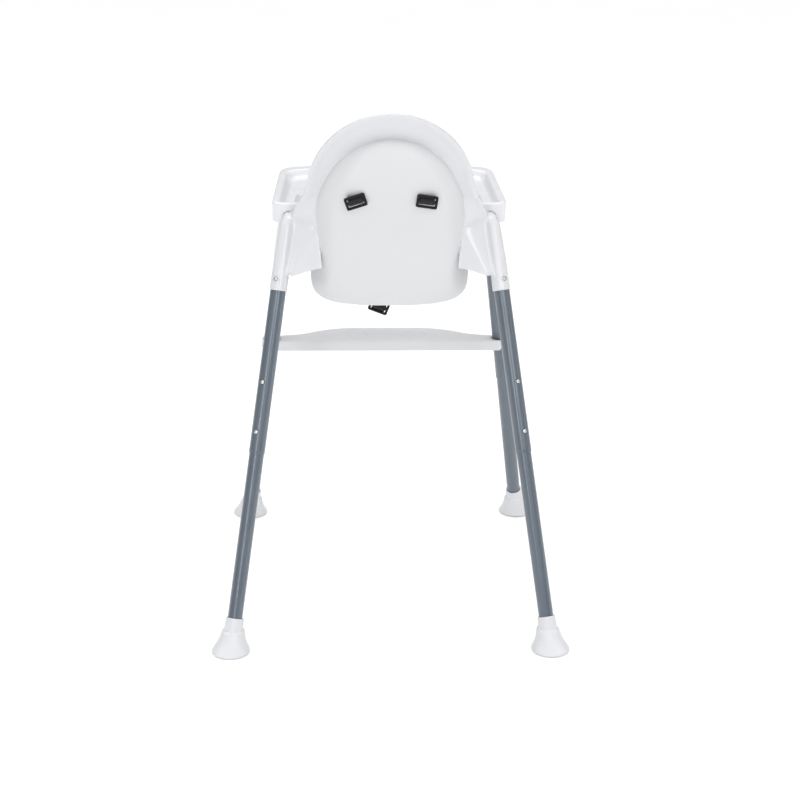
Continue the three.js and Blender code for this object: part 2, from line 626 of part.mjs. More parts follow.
add('buckle_body', buckleBody(), blackPlastic);
for (const [name, side] of [['left', 1], ['right', -1]]) {
  add(`buckle_tongue_${name}`, tongue(), blackPlastic).position.set(side * TONGUE.x, 0, BUCKLE.z);
}

const top = BUCKLE.z + BUCKLE.thick / 2;
const dish = [[0, top - 6], [RELEASE.r, top - 6], [RELEASE.r, top + 0.6], [RELEASE.r - 1, top + 1.4]];
const release = turned([...dish, [0, top + 0.8]]).translate(0, RELEASE.y, 0);
add('buckle_release_button', release, blackPlastic);

export default chair;
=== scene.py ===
import json
import math

import bmesh
import bpy
import numpy as np
import openvdb
from mathutils import Matrix, Vector


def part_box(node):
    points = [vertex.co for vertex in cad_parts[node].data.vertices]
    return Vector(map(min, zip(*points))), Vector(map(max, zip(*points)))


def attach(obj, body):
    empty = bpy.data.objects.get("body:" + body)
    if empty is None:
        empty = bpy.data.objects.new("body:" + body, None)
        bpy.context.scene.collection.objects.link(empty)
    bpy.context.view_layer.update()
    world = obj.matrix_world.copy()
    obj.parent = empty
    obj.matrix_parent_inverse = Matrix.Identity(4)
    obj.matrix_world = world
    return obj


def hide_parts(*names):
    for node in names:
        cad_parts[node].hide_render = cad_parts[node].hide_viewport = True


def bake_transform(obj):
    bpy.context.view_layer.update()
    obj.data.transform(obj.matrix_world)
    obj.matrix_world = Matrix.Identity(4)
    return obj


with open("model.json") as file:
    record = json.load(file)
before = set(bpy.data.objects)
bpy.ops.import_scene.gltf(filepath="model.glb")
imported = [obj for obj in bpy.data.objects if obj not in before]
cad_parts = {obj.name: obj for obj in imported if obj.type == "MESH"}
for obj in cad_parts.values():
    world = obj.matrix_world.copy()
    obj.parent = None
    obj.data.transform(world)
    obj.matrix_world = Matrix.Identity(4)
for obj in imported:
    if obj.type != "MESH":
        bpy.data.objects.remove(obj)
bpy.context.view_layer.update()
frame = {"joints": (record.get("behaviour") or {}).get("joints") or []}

# Lengths are millimetres in the part's frame; MM turns them into Blender's metres.
MM = 0.001

# ---- driving dimensions, the same as the CAD part's ----
LEG_TOP_X, LEG_TOP_Y, LEG_TOP_Z = 174.0, 68.4, 690.0
JOINT_Z, UPPER_TOP_Z, LOWER_TOP_Z, LOWER_BOTTOM_Z = 320.0, 630.0, 447.0, 18.0
UPPER_R, UPPER_BORE_R, LOWER_R, LOWER_BORE_R = 13.5, 12.8, 12.5, 11.3
LEG_BUTTON_Z = {"lower": 354.0, "upper": 434.0}
SOCKET_BUTTON_Z = 599.0
BUTTON_TURN = math.radians(25)
BUTTON_R, BUTTON_HOLE_R, DOME_RISE = 3.4, 3.9, 2.2
SPRING_WIDE, SPRING_THICK, SPRING_SLACK = 6.0, 0.8, 2.5

PLAY = 0.3  # the gap between two pieces that fit each other
WALL = 3.0
RIM_Z = 697.0
RIM_LINE = [(-107, 605), (-72.4, 687), (-62.4, 696), (54.4, 697), (68.4, 701), (159, 896)]
BACK_LEAN, HIP_LEAN = 0.46, 0.16
BOWL_X, BOWL_MIDDLE_Z, BOWL_BOTTOM_Z, BOWL_TOP_Z = 135.0, 620.0, 546.8, 850.0
BOWL_REAR, PAN_FRONT_Y = 64.5, -156.0
BOWL_CORNER, BOWL_ARCH, BOWL_BASE = 2.7, 2.3, 4.8
# the bowl's side walls, as shares of its half width and its depth, and how much they open at the base
SIDE_WALL, SIDE_WALL_OPENS = (0.94, 0.36), 0.13
DIMPLE_DEPTH, DIMPLE_WIDE, DIMPLE_TALL, DIMPLE_BELOW = 1.6, 23.0, 20.0, 10.0
SOCKET_MOUTH_Z, SOCKET_MOUTH_R = 581.0, 15.2
SOCKET_SHOULDER_Z, SOCKET_SHOULDER_R = 634.0, 14.7
DOME_R = 12.8
DOME_Z = {"rear": 684.0, "front": 675.0}
RAIL_R, RAIL_X, RAIL_Z = 10.75, 172.0, 690.0
EDGE_R = 6.5
# the folded sheet over each rear socket: its lines beside the bowl and along the socket as (height, X, Y),
# its inboard edge as (height, X), and the corners of its inboard panel
WEB_INNER = [(614, 166, 110.5), (650, 147.3, 97.6), (686.6, 128.3, 84),
             (704, 124.8, 83.8), (720, 121.5, 83.6), (740, 117.5, 86.5)]
WEB_OUTER = [(600, 187, 100.6), (650, 179.7, 84), (692, 173.7, 70.5),
             (704, 165, 70), (722, 157, 78), (740, 149, 86.5)]
WEB_EDGE = [(600, 114.5), (622, 115), (645, 117), (668, 121),
            (686.6, 126.8), (704, 123), (720, 119), (740, 110)]
FOLD_TOP, FOLD_END, FOLD_BOWL = (128.3, 84, 686.6), (166, 110.5, 614), (118.5, 105.5, 620)

ANCHOR_X, ANCHOR_Z = 59.0, 750.0
STRAP_WIDTH, STRAP_THICK = 24.0, 1.4
CROTCH_SLOT_Y, CROTCH_SLIDE_Z = -45.0, 502.0
GLIDE_Y, GLIDE_Z, GLIDE_LEAN = 151.5, 748.5, -0.21
BUCKLE_Y, BUCKLE_Z, BUCKLE_DEPTH, BUCKLE_THICK = -4.0, 560.5, 40.0, 14.0
TONGUE_X = 14.6
RELEASE_Y, RELEASE_R = -6.0, 8.0

TRAY_REAR_Y, TRAY_REAR_ROUND, TRAY_CORNER_Y, TRAY_BOW = 38.0, 26.0, -219.0, 17.0
TRAY_X, TRAY_FRONT_X = 201.0, 193.0
TRAY_TOP_Z, TRAY_FLOOR_Z, TRAY_UNDER_Z, TRAY_SKIRT_Z, TRAY_WALL = 715.5, 705.5, 703.0, 681.0, 2.6
TRAY_RIM, TRAY_REAR_RIM, TRAY_FRONT_RIM, TRAY_SLOPE = 10.0, 6.0, 20.0, 15.0
TRAY_EDGE_R = 3.2
RAIL_PLAY, RAIL_NOTCH = 0.4, (20.0, 40.0)  # the gap round the rail; the notch's middle and half length
BELLY_HALF, BELLY_DEPTH = 108.0, 90.0

STEP_TOP_Z, STEP_THICK, STEP_REAR_Y, STEP_FRONT_Y, STEP_WALL = 407.0, 19.0, -141.0, -220.0, 2.6
STEP_RING_R, STEP_EDGE_R, STEP_RIB, STEP_RIB_PITCH = 18.0, 2.4, 2.2, 55.0
DOT_RING = (54.0, -182.0, 19.0, 27.0)  # a ring of grip dots: its middle and half sizes
DOTS = 20


# ---- meshes ----
def new_object(name, mesh):
    made = bpy.data.objects.new(name, mesh)
    bpy.context.scene.collection.objects.link(made)
    return made


def mesh_from_faces(name, points, faces):
    """A mesh from points in mm and arrays of faces, each array with one count of corners."""
    mesh = bpy.data.meshes.new(name)
    faces = [np.asarray(group, np.int32) for group in faces if len(group)]
    mesh.vertices.add(len(points))
    mesh.vertices.foreach_set("co", (np.asarray(points, np.float64) * MM).astype(np.float32).ravel())
    corners = np.concatenate([group.ravel() for group in faces])
    counts = np.concatenate([np.full(len(group), group.shape[1]) for group in faces])
    mesh.loops.add(len(corners))
    mesh.loops.foreach_set("vertex_index", corners)
    mesh.polygons.add(len(counts))
    mesh.polygons.foreach_set("loop_start", np.concatenate([[0], np.cumsum(counts)[:-1]]).astype(np.int32))
    mesh.update(calc_edges=True)
    mesh.validate()
    mesh.shade_smooth()
    return mesh


def grid_faces(rows, columns, closed_rows=False, closed_columns=False):
    """The quads of a grid of rows x columns points."""
    r = np.arange(rows if closed_rows else rows - 1)
    c = np.arange(columns if closed_columns else columns - 1)
    r, c = np.meshgrid(r, c, indexing="ij")
    r2, c2 = (r + 1) % rows, (c + 1) % columns
    corners = [r * columns + c, r * columns + c2, r2 * columns + c2, r2 * columns + c]
    return np.stack(corners, -1).reshape(-1, 4)


def outward(mesh, merge=False):
    """Turns a mesh's faces outward, after merging points that coincide if asked."""
    work = bmesh.new()
    work.from_mesh(mesh)
    if merge:
        bmesh.ops.remove_doubles(work, verts=work.verts, dist=1e-6)
    bmesh.ops.recalc_face_normals(work, faces=work.faces)
    work.to_mesh(mesh)
    work.free()
    return mesh


def lathe(name, profile, segments=48, closed=False):
    """A body turned about Z from (radius, height) pairs; closed joins the last pair to the first."""
    profile = np.asarray(profile, float)
    angle = np.arange(segments) * 2 * math.pi / segments
    rings = [(r * np.cos(angle), r * np.sin(angle), np.full(segments, z)) for r, z in profile]
    points = np.stack([np.stack(ring, -1) for ring in rings]).reshape(-1, 3)
    return outward(mesh_from_faces(name, points, [grid_faces(len(profile), segments, closed, True)]), True)


def joined(name, meshes):
    """All of these meshes in one."""
    work = bmesh.new()
    for mesh in meshes:
        work.from_mesh(mesh)
    made = bpy.data.meshes.new(name)
    work.to_mesh(made)
    work.free()
    made.shade_smooth()
    return made


def boolean(obj, tools, operation="DIFFERENCE"):
    """Cuts meshes that don't overlap out of an object, or adds them to it."""
    tool = new_object("tool", joined("tool", tools))
    change = obj.modifiers.new("tool", "BOOLEAN")
    change.operation, change.object, change.solver = operation, tool, "MANIFOLD"
    shown = obj.evaluated_get(bpy.context.evaluated_depsgraph_get())
    mesh = bpy.data.meshes.new_from_object(shown)
    obj.modifiers.clear()
    obj.data = mesh
    bpy.data.objects.remove(tool)


def shifted(mesh, at):
    mesh.transform(Matrix.Translation(Vector(at) * MM))
    return mesh


def sharp(obj, degrees):
    """Smooth shading with the edges over this angle left crisp."""
    obj.data.shade_smooth()
    obj.data.set_sharp_from_angle(angle=math.radians(degrees))
    return obj


# ---- signed fields: negative inside, in mm ----
def low_of(a, b, blend=0.0):
    """The union of two fields, with a fillet about as wide as blend."""
    if not blend:
        return np.minimum(a, b)
    share = np.maximum(blend - np.abs(a - b), 0) / blend
    return np.minimum(a, b) - share * share * blend / 4


def high_of(a, b, blend=0.0):
    """The overlap of two fields, with its edge rounded."""
    return -low_of(-a, -b, blend)


def less(a, b, blend=0.0):
    """Field a with b cut out of it."""
    return -low_of(-a, b, blend)


def ramp(value, start, end):
    return np.clip((value - start) / (end - start), 0, 1)


def eased(value, start, end):
    """0 before start, 1 after end, and a smooth step between them."""
    share = ramp(value, start, end)
    return share * share * (3 - 2 * share)


def cut_corners(points, times=3, closed=False):
    """A line with its corners cut again and again."""
    points = np.asarray(points, float)
    for _ in range(times):
        after = np.roll(points, -1, 0) if closed else points[1:]
        before = points if closed else points[:-1]
        pairs = np.stack([0.75 * before + 0.25 * after, 0.25 * before + 0.75 * after], 1)
        cut = pairs.reshape(-1, points.shape[1])
        points = cut if closed else np.concatenate([points[:1], cut, points[-1:]])
    return points


def through(points, count):
    """An even, smooth line through a few points."""
    points = np.asarray(points, float)
    before = np.concatenate([2 * points[:1] - points[1:2], points, 2 * points[-1:] - points[-2:-1]])
    spans = np.linspace(0, len(points) - 1 - 1e-9, count * 4)
    i = spans.astype(int)
    t = (spans - i)[:, None]
    a, b, c, d = before[i], before[i + 1], before[i + 2], before[i + 3]
    line = 0.5 * (2 * b + (c - a) * t + (2 * a - 5 * b + 4 * c - d) * t**2 + (3 * b - a - 3 * c + d) * t**3)
    length = np.concatenate([[0], np.cumsum(np.linalg.norm(np.diff(line, axis=0), axis=1))])
    at = np.linspace(0, length[-1], count)
    return np.stack([np.interp(at, length, line[:, k]) for k in range(points.shape[1])], -1)


def outline_distance(a, b, corners, closed=True):
    """The distance of points to a line of corners, negative inside it if it is closed."""
    best, inside = np.full(a.shape, 1e12), np.zeros(a.shape, bool)
    ends = np.roll(corners, -1, 0) if closed else corners[1:]
    for (a0, b0), (a1, b1) in zip(corners, ends):
        da, db = a1 - a0, b1 - b0
        share = np.clip(((a - a0) * da + (b - b0) * db) / (da * da + db * db + 1e-12), 0, 1)
        best = np.minimum(best, (a - a0 - share * da) ** 2 + (b - b0 - share * db) ** 2)
        if closed:
            crossed = (b0 > b) != (b1 > b)
            inside ^= crossed & (a < a0 + (b - b0) * da / (db if db else 1e-12))
    return np.where(inside, -1, 1) * np.sqrt(best)


class Chart:
    """The distance to a line in a plane, worked out once on a grid."""

    def __init__(self, corners, low, high, pitch=1.0, closed=True):
        self.low, self.pitch = low, pitch
        self.shape = [int((h - l) / pitch) + 2 for l, h in zip(low, high)]
        lines = [l + pitch * np.arange(count) for l, count in zip(low, self.shape)]
        grid = np.meshgrid(*lines, indexing="ij")
        self.value = outline_distance(*grid, np.asarray(corners, float), closed)

    def __call__(self, a, b):
        u = np.clip((a - self.low[0]) / self.pitch, 0, self.shape[0] - 1.001)
        v = np.clip((b - self.low[1]) / self.pitch, 0, self.shape[1] - 1.001)
        i, j = u.astype(np.int32), v.astype(np.int32)
        u, v, t = u - i, v - j, self.value
        near = t[i, j] * (1 - u) + t[i + 1, j] * u
        far = t[i, j + 1] * (1 - u) + t[i + 1, j + 1] * u
        return near * (1 - v) + far * v


def slope(field, p, reach=0.2):
    """A field and its gradient at points."""
    here = field(p[:, 0], p[:, 1], p[:, 2])
    there = [field(*(p + reach * np.eye(3)[k]).T) for k in range(3)]
    return here, (np.stack(there, -1) - here[:, None]) / reach


SMOOTHING = 2  # how often a field's mesh is evened out


def edge_lines(faces):
    """Every edge of these faces, as pairs of point numbers; a shared edge comes twice."""
    return np.concatenate([np.stack([group, np.roll(group, -1, 1)], -1).reshape(-1, 2) for group in faces])


def field_mesh(name, field, low, high, step, mirrored=False):
    """The surface where a field is zero; mirrored means that it is the same on both sides of X = 0."""
    axes = [np.arange(l, h + step, step) for l, h in zip(low, high)]
    if mirrored:
        axes[0] = np.arange(0, high[0] + step, step)
    x, y, z = axes[0][:, None, None], axes[1][None, :, None], axes[2][None, None, :]
    values = np.broadcast_to(field(x, y, z), [len(axis) for axis in axes]).astype(np.float32)
    start = [axis[0] for axis in axes]
    if mirrored:
        values = np.concatenate([values[:0:-1], values])
        start[0] = -axes[0][-1]
    grid = openvdb.FloatGrid(background=float(4 * step))
    grid.copyFromArray(np.ascontiguousarray(values))
    points, triangles, quads = grid.convertToPolygons(isovalue=0.0, adaptivity=0.0)
    points = points.astype(np.float64) * step + np.array(start)
    faces = [group[:, ::-1] for group in (triangles, quads)]
    lines = edge_lines(faces)
    share = np.bincount(lines.ravel(), minlength=len(points)).astype(float)[:, None]
    for turn in range(SMOOTHING + 1):
        if turn:
            total = np.zeros_like(points)
            for axis in range(3):
                total[:, axis] = np.bincount(lines[:, 0], points[lines[:, 1], axis], len(points))
                total[:, axis] += np.bincount(lines[:, 1], points[lines[:, 0], axis], len(points))
            points += 0.5 * (total / np.maximum(share, 1) - points)
        for _ in range(2):
            here, way = slope(field, points)
            move = -way * (here / np.maximum((way * way).sum(1), 0.05))[:, None]
            size = np.linalg.norm(move, axis=1, keepdims=True)
            points += move * np.minimum(1, 0.6 * step / np.maximum(size, 1e-9))
    return mesh_from_faces(name, points, faces)


def round_box(x, y, z, half, edge):
    """A box about the origin with its edges rounded."""
    q = [np.abs(v) - (h - edge) for v, h in zip((x, y, z), half)]
    outside = np.sqrt(sum(np.maximum(v, 0) ** 2 for v in q))
    return outside + np.minimum(np.maximum(np.maximum(q[0], q[1]), q[2]), 0) - edge


def rounded_rim(outside, above, edge):
    """A plate with its rim rounded, from the distances past its outline and past its face."""
    across, level = outside + edge, above + edge
    corner = np.sqrt(np.maximum(across, 0) ** 2 + np.maximum(level, 0) ** 2)
    return corner + np.minimum(np.maximum(across, level), 0) - edge


# ---- legs ----
LEGS = {}
for joint in frame["joints"]:
    if not joint["name"].startswith("lower_leg_slide_"):
        continue
    leg_name = joint["name"].replace("lower_leg_slide_", "")
    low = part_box("foot_" + leg_name)[0]
    up = -Vector(joint["axis"]).normalized()
    side, back = (1 if low.x > 0 else -1), (1 if low.y > 0 else -1)
    top = Vector((side * LEG_TOP_X, back * LEG_TOP_Y, LEG_TOP_Z))
    foot = top - up * (LEG_TOP_Z / up.z)
    out = Vector((side * math.sin(BUTTON_TURN), back * math.cos(BUTTON_TURN), 0))
    out = (out - up * out.dot(up)).normalized()
    across = out.cross(up)
    place = Matrix([[across[k], out[k], up[k], foot[k] * MM] for k in range(3)] + [[0, 0, 0, 1]])
    row = leg_name.split("_")[0]
    LEGS[leg_name] = dict(foot=foot, up=up, out=out, place=place, side=side, back=back, row=row)


def along(leg, z):
    """The distance up a leg from the floor at a height."""
    return z / leg["up"].z


def in_leg(leg, mesh, z=0.0):
    """Moves a mesh drawn about a leg's axis to its place, at height z."""
    mesh.transform(leg["place"] @ Matrix.Translation(Vector((0, 0, along(leg, z) * MM))))
    return mesh


def off_leg(leg, x, y, z):
    """How far points are up a leg's axis, and how far out from it."""
    dx, dy, dz = x - leg["foot"].x, y - leg["foot"].y, z - leg["foot"].z
    up = leg["up"]
    rise = dx * up.x + dy * up.y + dz * up.z
    return rise, np.sqrt(np.maximum(dx * dx + dy * dy + dz * dz - rise * rise, 1e-9))


def button_hole(leg, z):
    """A bar that cuts a button hole in a leg."""
    start, end = 5, 20
    mesh = lathe("hole", [(0, start), (BUTTON_HOLE_R, start), (BUTTON_HOLE_R, end), (0, end)], 32)
    mesh.transform(Matrix.Rotation(-math.pi / 2, 4, "X"))
    return in_leg(leg, mesh, z)


# ---- materials ----
class Surface:
    """A procedural material: a Principled shader and the textures that vary it."""

    def __init__(self, name, slot, **constants):
        self.material = bpy.data.materials.new(name)
        self.material.use_nodes = True
        self.tree = self.material.node_tree
        self.shader = self.tree.nodes["Principled BSDF"]
        self.slot = slot
        self.place = self.node("ShaderNodeTexCoord").outputs["Object"]
        for key, value in constants.items():
            self.shader.inputs[key.replace("_", " ")].default_value = value
        self.height = None

    def feed(self, socket, value):
        """Links an input to an output, or sets its value."""
        if isinstance(value, bpy.types.NodeSocket):
            self.tree.links.new(value, socket)
        else:
            socket.default_value = value

    def node(self, kind, inputs=None, **settings):
        made = self.tree.nodes.new(kind)
        for key, value in settings.items():
            setattr(made, key, value)
        for key, value in (inputs or {}).items():
            self.feed(made.inputs[key], value)
        return made

    def maths(self, operation, *values):
        made = self.tree.nodes.new("ShaderNodeMath")
        made.operation = operation
        for socket, value in zip(made.inputs, values):
            self.feed(socket, value)
        return made.outputs[0]

    def noise(self, scale, detail, stretch=(1, 1, 1)):
        moved = self.node("ShaderNodeMapping", {"Vector": self.place, "Scale": stretch})
        inputs = {"Vector": moved.outputs[0], "Scale": scale, "Detail": detail}
        return self.node("ShaderNodeTexNoise", inputs).outputs["Fac"]

    def spread(self, value, low, high, start=0.3, end=0.7):
        """Maps a pattern onto a range of numbers."""
        inputs = {"Value": value, "From Min": start, "From Max": end, "To Min": low, "To Max": high}
        return self.node("ShaderNodeMapRange", inputs).outputs[0]

    def attribute(self, name, output="Fac"):
        return self.node("ShaderNodeAttribute", attribute_name=name).outputs[output]

    def mix(self, share, first, second):
        """Blends two colours, each a socket or three numbers."""
        made = self.node("ShaderNodeMix", {"Factor": share}, data_type="RGBA")
        for key, value in ((6, first), (7, second)):
            self.feed(made.inputs[key], (*value, 1) if isinstance(value, tuple) else value)
        return made.outputs[2]

    def to(self, key, value):
        self.tree.links.new(value, self.shader.inputs[key])

    def bump(self, height, distance, strength):
        inputs = {"Height": height, "Distance": distance, "Strength": strength}
        if self.height is not None:
            inputs["Normal"] = self.height
        self.height = self.node("ShaderNodeBump", inputs).outputs[0]
        self.to("Normal", self.height)

    def on(self, obj):
        obj.data.materials.clear()
        obj.data.materials.append(self.material)


def moulded(name, slot, bright, dim, rough, **constants):
    """Moulded plastic: faint mottling, a fine grain and a gloss that varies a little."""
    made = Surface(name, slot, **constants)
    made.to("Base Color", made.mix(made.spread(made.noise(9, 2), 0, 1, 0.2, 0.8), bright, dim))
    made.to("Roughness", made.spread(made.noise(45, 5), rough[0], rough[1]))
    made.bump(made.noise(12, 1), 0.0004, 0.15)
    made.bump(made.noise(2200, 1), 0.00002, 0.15)
    return made


def shell_plastic():
    """The seat's plastic: glossy, but dull and grained on the bowl, where "matte" is 1."""
    made = moulded("shell_plastic", "white_plastic", (0.655, 0.66, 0.682), (0.648, 0.653, 0.675),
                   (0.285, 0.35), IOR=1.49, Coat_Roughness=0.06)
    matte = made.attribute("matte")
    colour, rough = (made.shader.inputs[key].links[0].from_socket for key in ("Base Color", "Roughness"))
    made.to("Base Color", made.mix(matte, colour, (0.652, 0.657, 0.672)))
    made.to("Roughness", made.maths("ADD", rough, made.maths("MULTIPLY", matte, 0.3)))
    made.to("Coat Weight", made.maths("MULTIPLY", made.maths("SUBTRACT", 1.0, matte), 0.5))
    made.bump(made.maths("MULTIPLY", made.noise(1500, 3), matte), 0.0001, 0.4)
    return made


def slate_paint():
    """Powder-coated steel: a slate ground, a clear skin, faint orange peel and fine flecks."""
    made = Surface("slate_paint", "slate_tube", IOR=1.5, Metallic=0.15,
                   Coat_Weight=0.55, Coat_Roughness=0.12)
    flecks = made.spread(made.noise(4200, 1), 0, 1, 0.45, 0.75)
    ground = made.mix(made.spread(made.noise(18, 4), 0, 1), (0.108, 0.133, 0.165), (0.099, 0.122, 0.152))
    made.to("Base Color", made.mix(made.maths("MULTIPLY", flecks, 0.12), ground, (0.42, 0.46, 0.5)))
    made.to("Roughness", made.spread(made.noise(70, 4), 0.3, 0.42))
    made.bump(made.noise(900, 2), 0.00005, 0.35)
    return made


def brushed_nickel():
    """Spring steel with a nickel skin, drawn along its length."""
    made = Surface("nickel", "nickel", IOR=1.5, Metallic=1.0)
    clouds = made.spread(made.noise(300, 3), 0, 1)
    made.to("Base Color", made.mix(clouds, (0.72, 0.70, 0.66), (0.6, 0.585, 0.55)))
    made.to("Roughness", made.spread(made.noise(900, 3, (1, 1, 0.1)), 0.14, 0.3))
    made.bump(made.noise(2500, 2, (1, 1, 0.1)), 0.00002, 0.3)
    return made


def woven_strap():
    """Polyester webbing: a herringbone of ribs, along and across each strap."""
    made = Surface("strap_weave", "black_webbing", IOR=1.4, Sheen_Weight=0.12, Sheen_Roughness=0.5)
    parts = made.node("ShaderNodeSeparateXYZ", {"Vector": made.attribute("weave", "Vector")})
    run, cross = parts.outputs[0], parts.outputs[1]
    ribs = made.maths("SINE", made.maths("MULTIPLY", cross, 2 * math.pi / 1.5))
    zig = made.maths("PINGPONG", cross, 3.0)
    twill = made.maths("SINE", made.maths("MULTIPLY", made.maths("ADD", run, zig), 2 * math.pi / 1.1))
    height = made.maths("ADD", made.maths("MULTIPLY", twill, 0.6), made.maths("MULTIPLY", ribs, 0.4))
    fuzz = made.noise(3000, 3)
    # the webbing's colour is painted darker in the weave's grooves and lighter on its crests, as painted
    # shade, and varies at random with the fuzz
    groove_shade_and_fuzz = made.maths("ADD", made.maths("MULTIPLY", height, 0.25), made.spread(fuzz, 0, 0.5))
    groove_shade_and_fuzz = made.maths("ADD", groove_shade_and_fuzz, 0.25)
    made.to("Base Color", made.mix(groove_shade_and_fuzz, (0.004, 0.004, 0.005), (0.018, 0.018, 0.02)))
    made.to("Roughness", made.spread(fuzz, 0.62, 0.86))
    made.bump(height, 0.00025, 0.8)
    made.bump(fuzz, 0.00008, 0.5)
    return made


SHELL = shell_plastic()
# the tray's white plastic is painted lighter than the seat's same plastic, as painted light on its upward
# faces
TRAY_PLASTIC_PAINTED_LIGHTER = moulded("tray_plastic", "white_plastic", (0.735, 0.74, 0.762), (0.727, 0.732, 0.754),
                       (0.16, 0.26), IOR=1.49)
STEP_PLASTIC = moulded("step_plastic", "white_plastic", (0.66, 0.665, 0.68), (0.652, 0.657, 0.672),
                       (0.3, 0.4), IOR=1.49)
FOOT_PLASTIC = moulded("foot_plastic", "foot_white", (0.655, 0.66, 0.68), (0.647, 0.652, 0.672),
                       (0.3, 0.42), IOR=1.5)
BLACK_PLASTIC = moulded("black_plastic", "black_plastic", (0.004, 0.004, 0.005), (0.008, 0.008, 0.009),
                        (0.3, 0.42), IOR=1.3)
SLATE, NICKEL, WEBBING = slate_paint(), brushed_nickel(), woven_strap()


def from_field(name, *shape):
    """An object whose surface is where a field is zero; shape is what field_mesh takes."""
    return new_object(name, field_mesh(name, *shape))


def finished(obj, surface, body, node):
    """A piece's material, the body it rides on and the CAD node it stands for."""
    surface.on(obj)
    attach(obj, body)
    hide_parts(node)


# ---- seat shell ----
RIM_CURVE = cut_corners(RIM_LINE, 3)
rim_region = np.concatenate([RIM_CURVE, [(189, 960), (320, 960), (320, 480), (-240, 480), (-240, 598)]])
rim_side = Chart(rim_region, (-190, 520), (230, 930))
rim_line = Chart(RIM_CURVE, (-190, 520), (230, 930), closed=False)


def rim_corners():
    """The rim seen from behind: an arch that widens down to the leg tops."""
    turns = np.radians(np.linspace(4, 90, 24))
    arch = [(140 * math.cos(t), RIM_LINE[-1][1] - 146 + 147 * math.sin(t)) for t in turns]
    foot = [(178.5, 600), (176, 640), (173, 690), (165, 703), (153, 730), (145, 747)]
    right = np.array(foot + arch)
    left = right[::-1] * [-1, 1]
    return cut_corners(np.concatenate([right, left[1:]]), 1, closed=True)


rim_outline = Chart(rim_corners(), (-10, 560), (230, 930))
WEB_INNER, WEB_OUTER = cut_corners(WEB_INNER, 2), cut_corners(WEB_OUTER, 2)
WEB_EDGE = cut_corners(WEB_EDGE, 1)


def bowl_middle(z):
    """The middle of the bowl's section, which leans back with the backrest."""
    rise = (z - RIM_Z) / 6
    bend = np.logaddexp(0, rise) * 6
    return LEG_TOP_Y + HIP_LEAN * (z - RIM_Z) + (BACK_LEAN - HIP_LEAN) * bend


def bowl_raw(x, y, z):
    """The bowl: a box rounded as a superellipse in plan and in side view, 0 at its surface."""
    upper = z > BOWL_MIDDLE_Z
    height = np.where(upper, BOWL_TOP_Z - BOWL_MIDDLE_Z, BOWL_MIDDLE_Z - BOWL_BOTTOM_Z)
    rise = np.abs(z - BOWL_MIDDLE_Z) / height
    squareness = np.where(upper, BOWL_ARCH, BOWL_BASE)
    across = y - bowl_middle(z)
    front = LEG_TOP_Y + HIP_LEAN * (BOWL_MIDDLE_Z - RIM_Z) - PAN_FRONT_Y
    depth = np.where(across > 0, BOWL_REAR, front)
    x = np.abs(x) / BOWL_X
    level = (x**BOWL_CORNER + (np.abs(across) / depth) ** BOWL_CORNER) ** (1 / BOWL_CORNER)
    wall = SIDE_WALL[0] * x + SIDE_WALL[1] * across / depth
    wall = wall * (1 - SIDE_WALL_OPENS * eased(BOWL_MIDDLE_Z - z, 0, 60))
    level = high_of(level, wall, 0.07)
    return (level**squareness + rise**squareness + 1e-9) ** (1 / squareness) - 1


def bowl(x, y, z):
    """About the distance to the bowl's outer surface, dimpled at each harness slot."""
    here = bowl_raw(x, y, z)
    ways = (bowl_raw(x + 0.5, y, z), bowl_raw(x, y + 0.5, z), bowl_raw(x, y, z + 0.5))
    steep = np.sqrt(sum((way - here) ** 2 for way in ways)) / 0.5
    here = here / np.maximum(steep, 1 / 500)
    beside, above = (np.abs(x) - ANCHOR_X) / DIMPLE_WIDE, (z - ANCHOR_Z + DIMPLE_BELOW) / DIMPLE_TALL
    return here + DIMPLE_DEPTH * np.exp(-(beside**2) - above**2) * eased(y, 60, 110)


def web(x, y, z):
    """The folded sheet under a backrest corner: ruled outboard of its fold, flat inboard."""
    inner_x, inner_y = (np.interp(z, WEB_INNER[:, 0], WEB_INNER[:, k]) for k in (1, 2))
    outer_x, outer_y = (np.interp(z, WEB_OUTER[:, 0], WEB_OUTER[:, k]) for k in (1, 2))
    outer = inner_y + (x - inner_x) * (outer_y - inner_y) / np.maximum(outer_x - inner_x, 12)
    top, end, corner = (np.array(p, float) for p in (FOLD_TOP, FOLD_END, FOLD_BOWL))
    n = np.cross(end - top, corner - top)
    inner = top[1] - ((x - top[0]) * n[0] + (z - top[2]) * n[2]) / n[1] + 2 * np.maximum(z - top[2], 0)
    sheet = np.abs(high_of(y - outer, y - inner, 3)) * 0.8 - WALL / 2
    beside = outer_x - x
    floor = 609 + 11 * eased(beside, 12, 70) - 9 * np.clip(1 - (beside - 15) / 10, 0, 1) ** 2
    edge = high_of(floor - z, z - 738, 2)
    inboard = np.interp(z, WEB_EDGE[:, 0], WEB_EDGE[:, 1]) - x
    return high_of(high_of(sheet, edge, 1.2), high_of(inboard, rim_outline(x, z), 1), 1)


def socket(leg):
    """The field of one leg socket: a cone along the leg with a domed top."""
    levels = [along(leg, z) for z in (SOCKET_MOUTH_Z, SOCKET_SHOULDER_Z, DOME_Z[leg["row"]])]

    def field(x, y, z):
        rise, out = off_leg(leg, x, y, z)
        wide = np.interp(rise, levels, [SOCKET_MOUTH_R, SOCKET_SHOULDER_R, DOME_R])
        past = np.maximum(rise - levels[2], 0)
        return high_of(np.sqrt(out * out + past * past) - wide, levels[0] - rise, 1.2)

    return field


SOCKETS = [(leg["row"], socket(leg)) for leg in LEGS.values() if leg["side"] > 0]


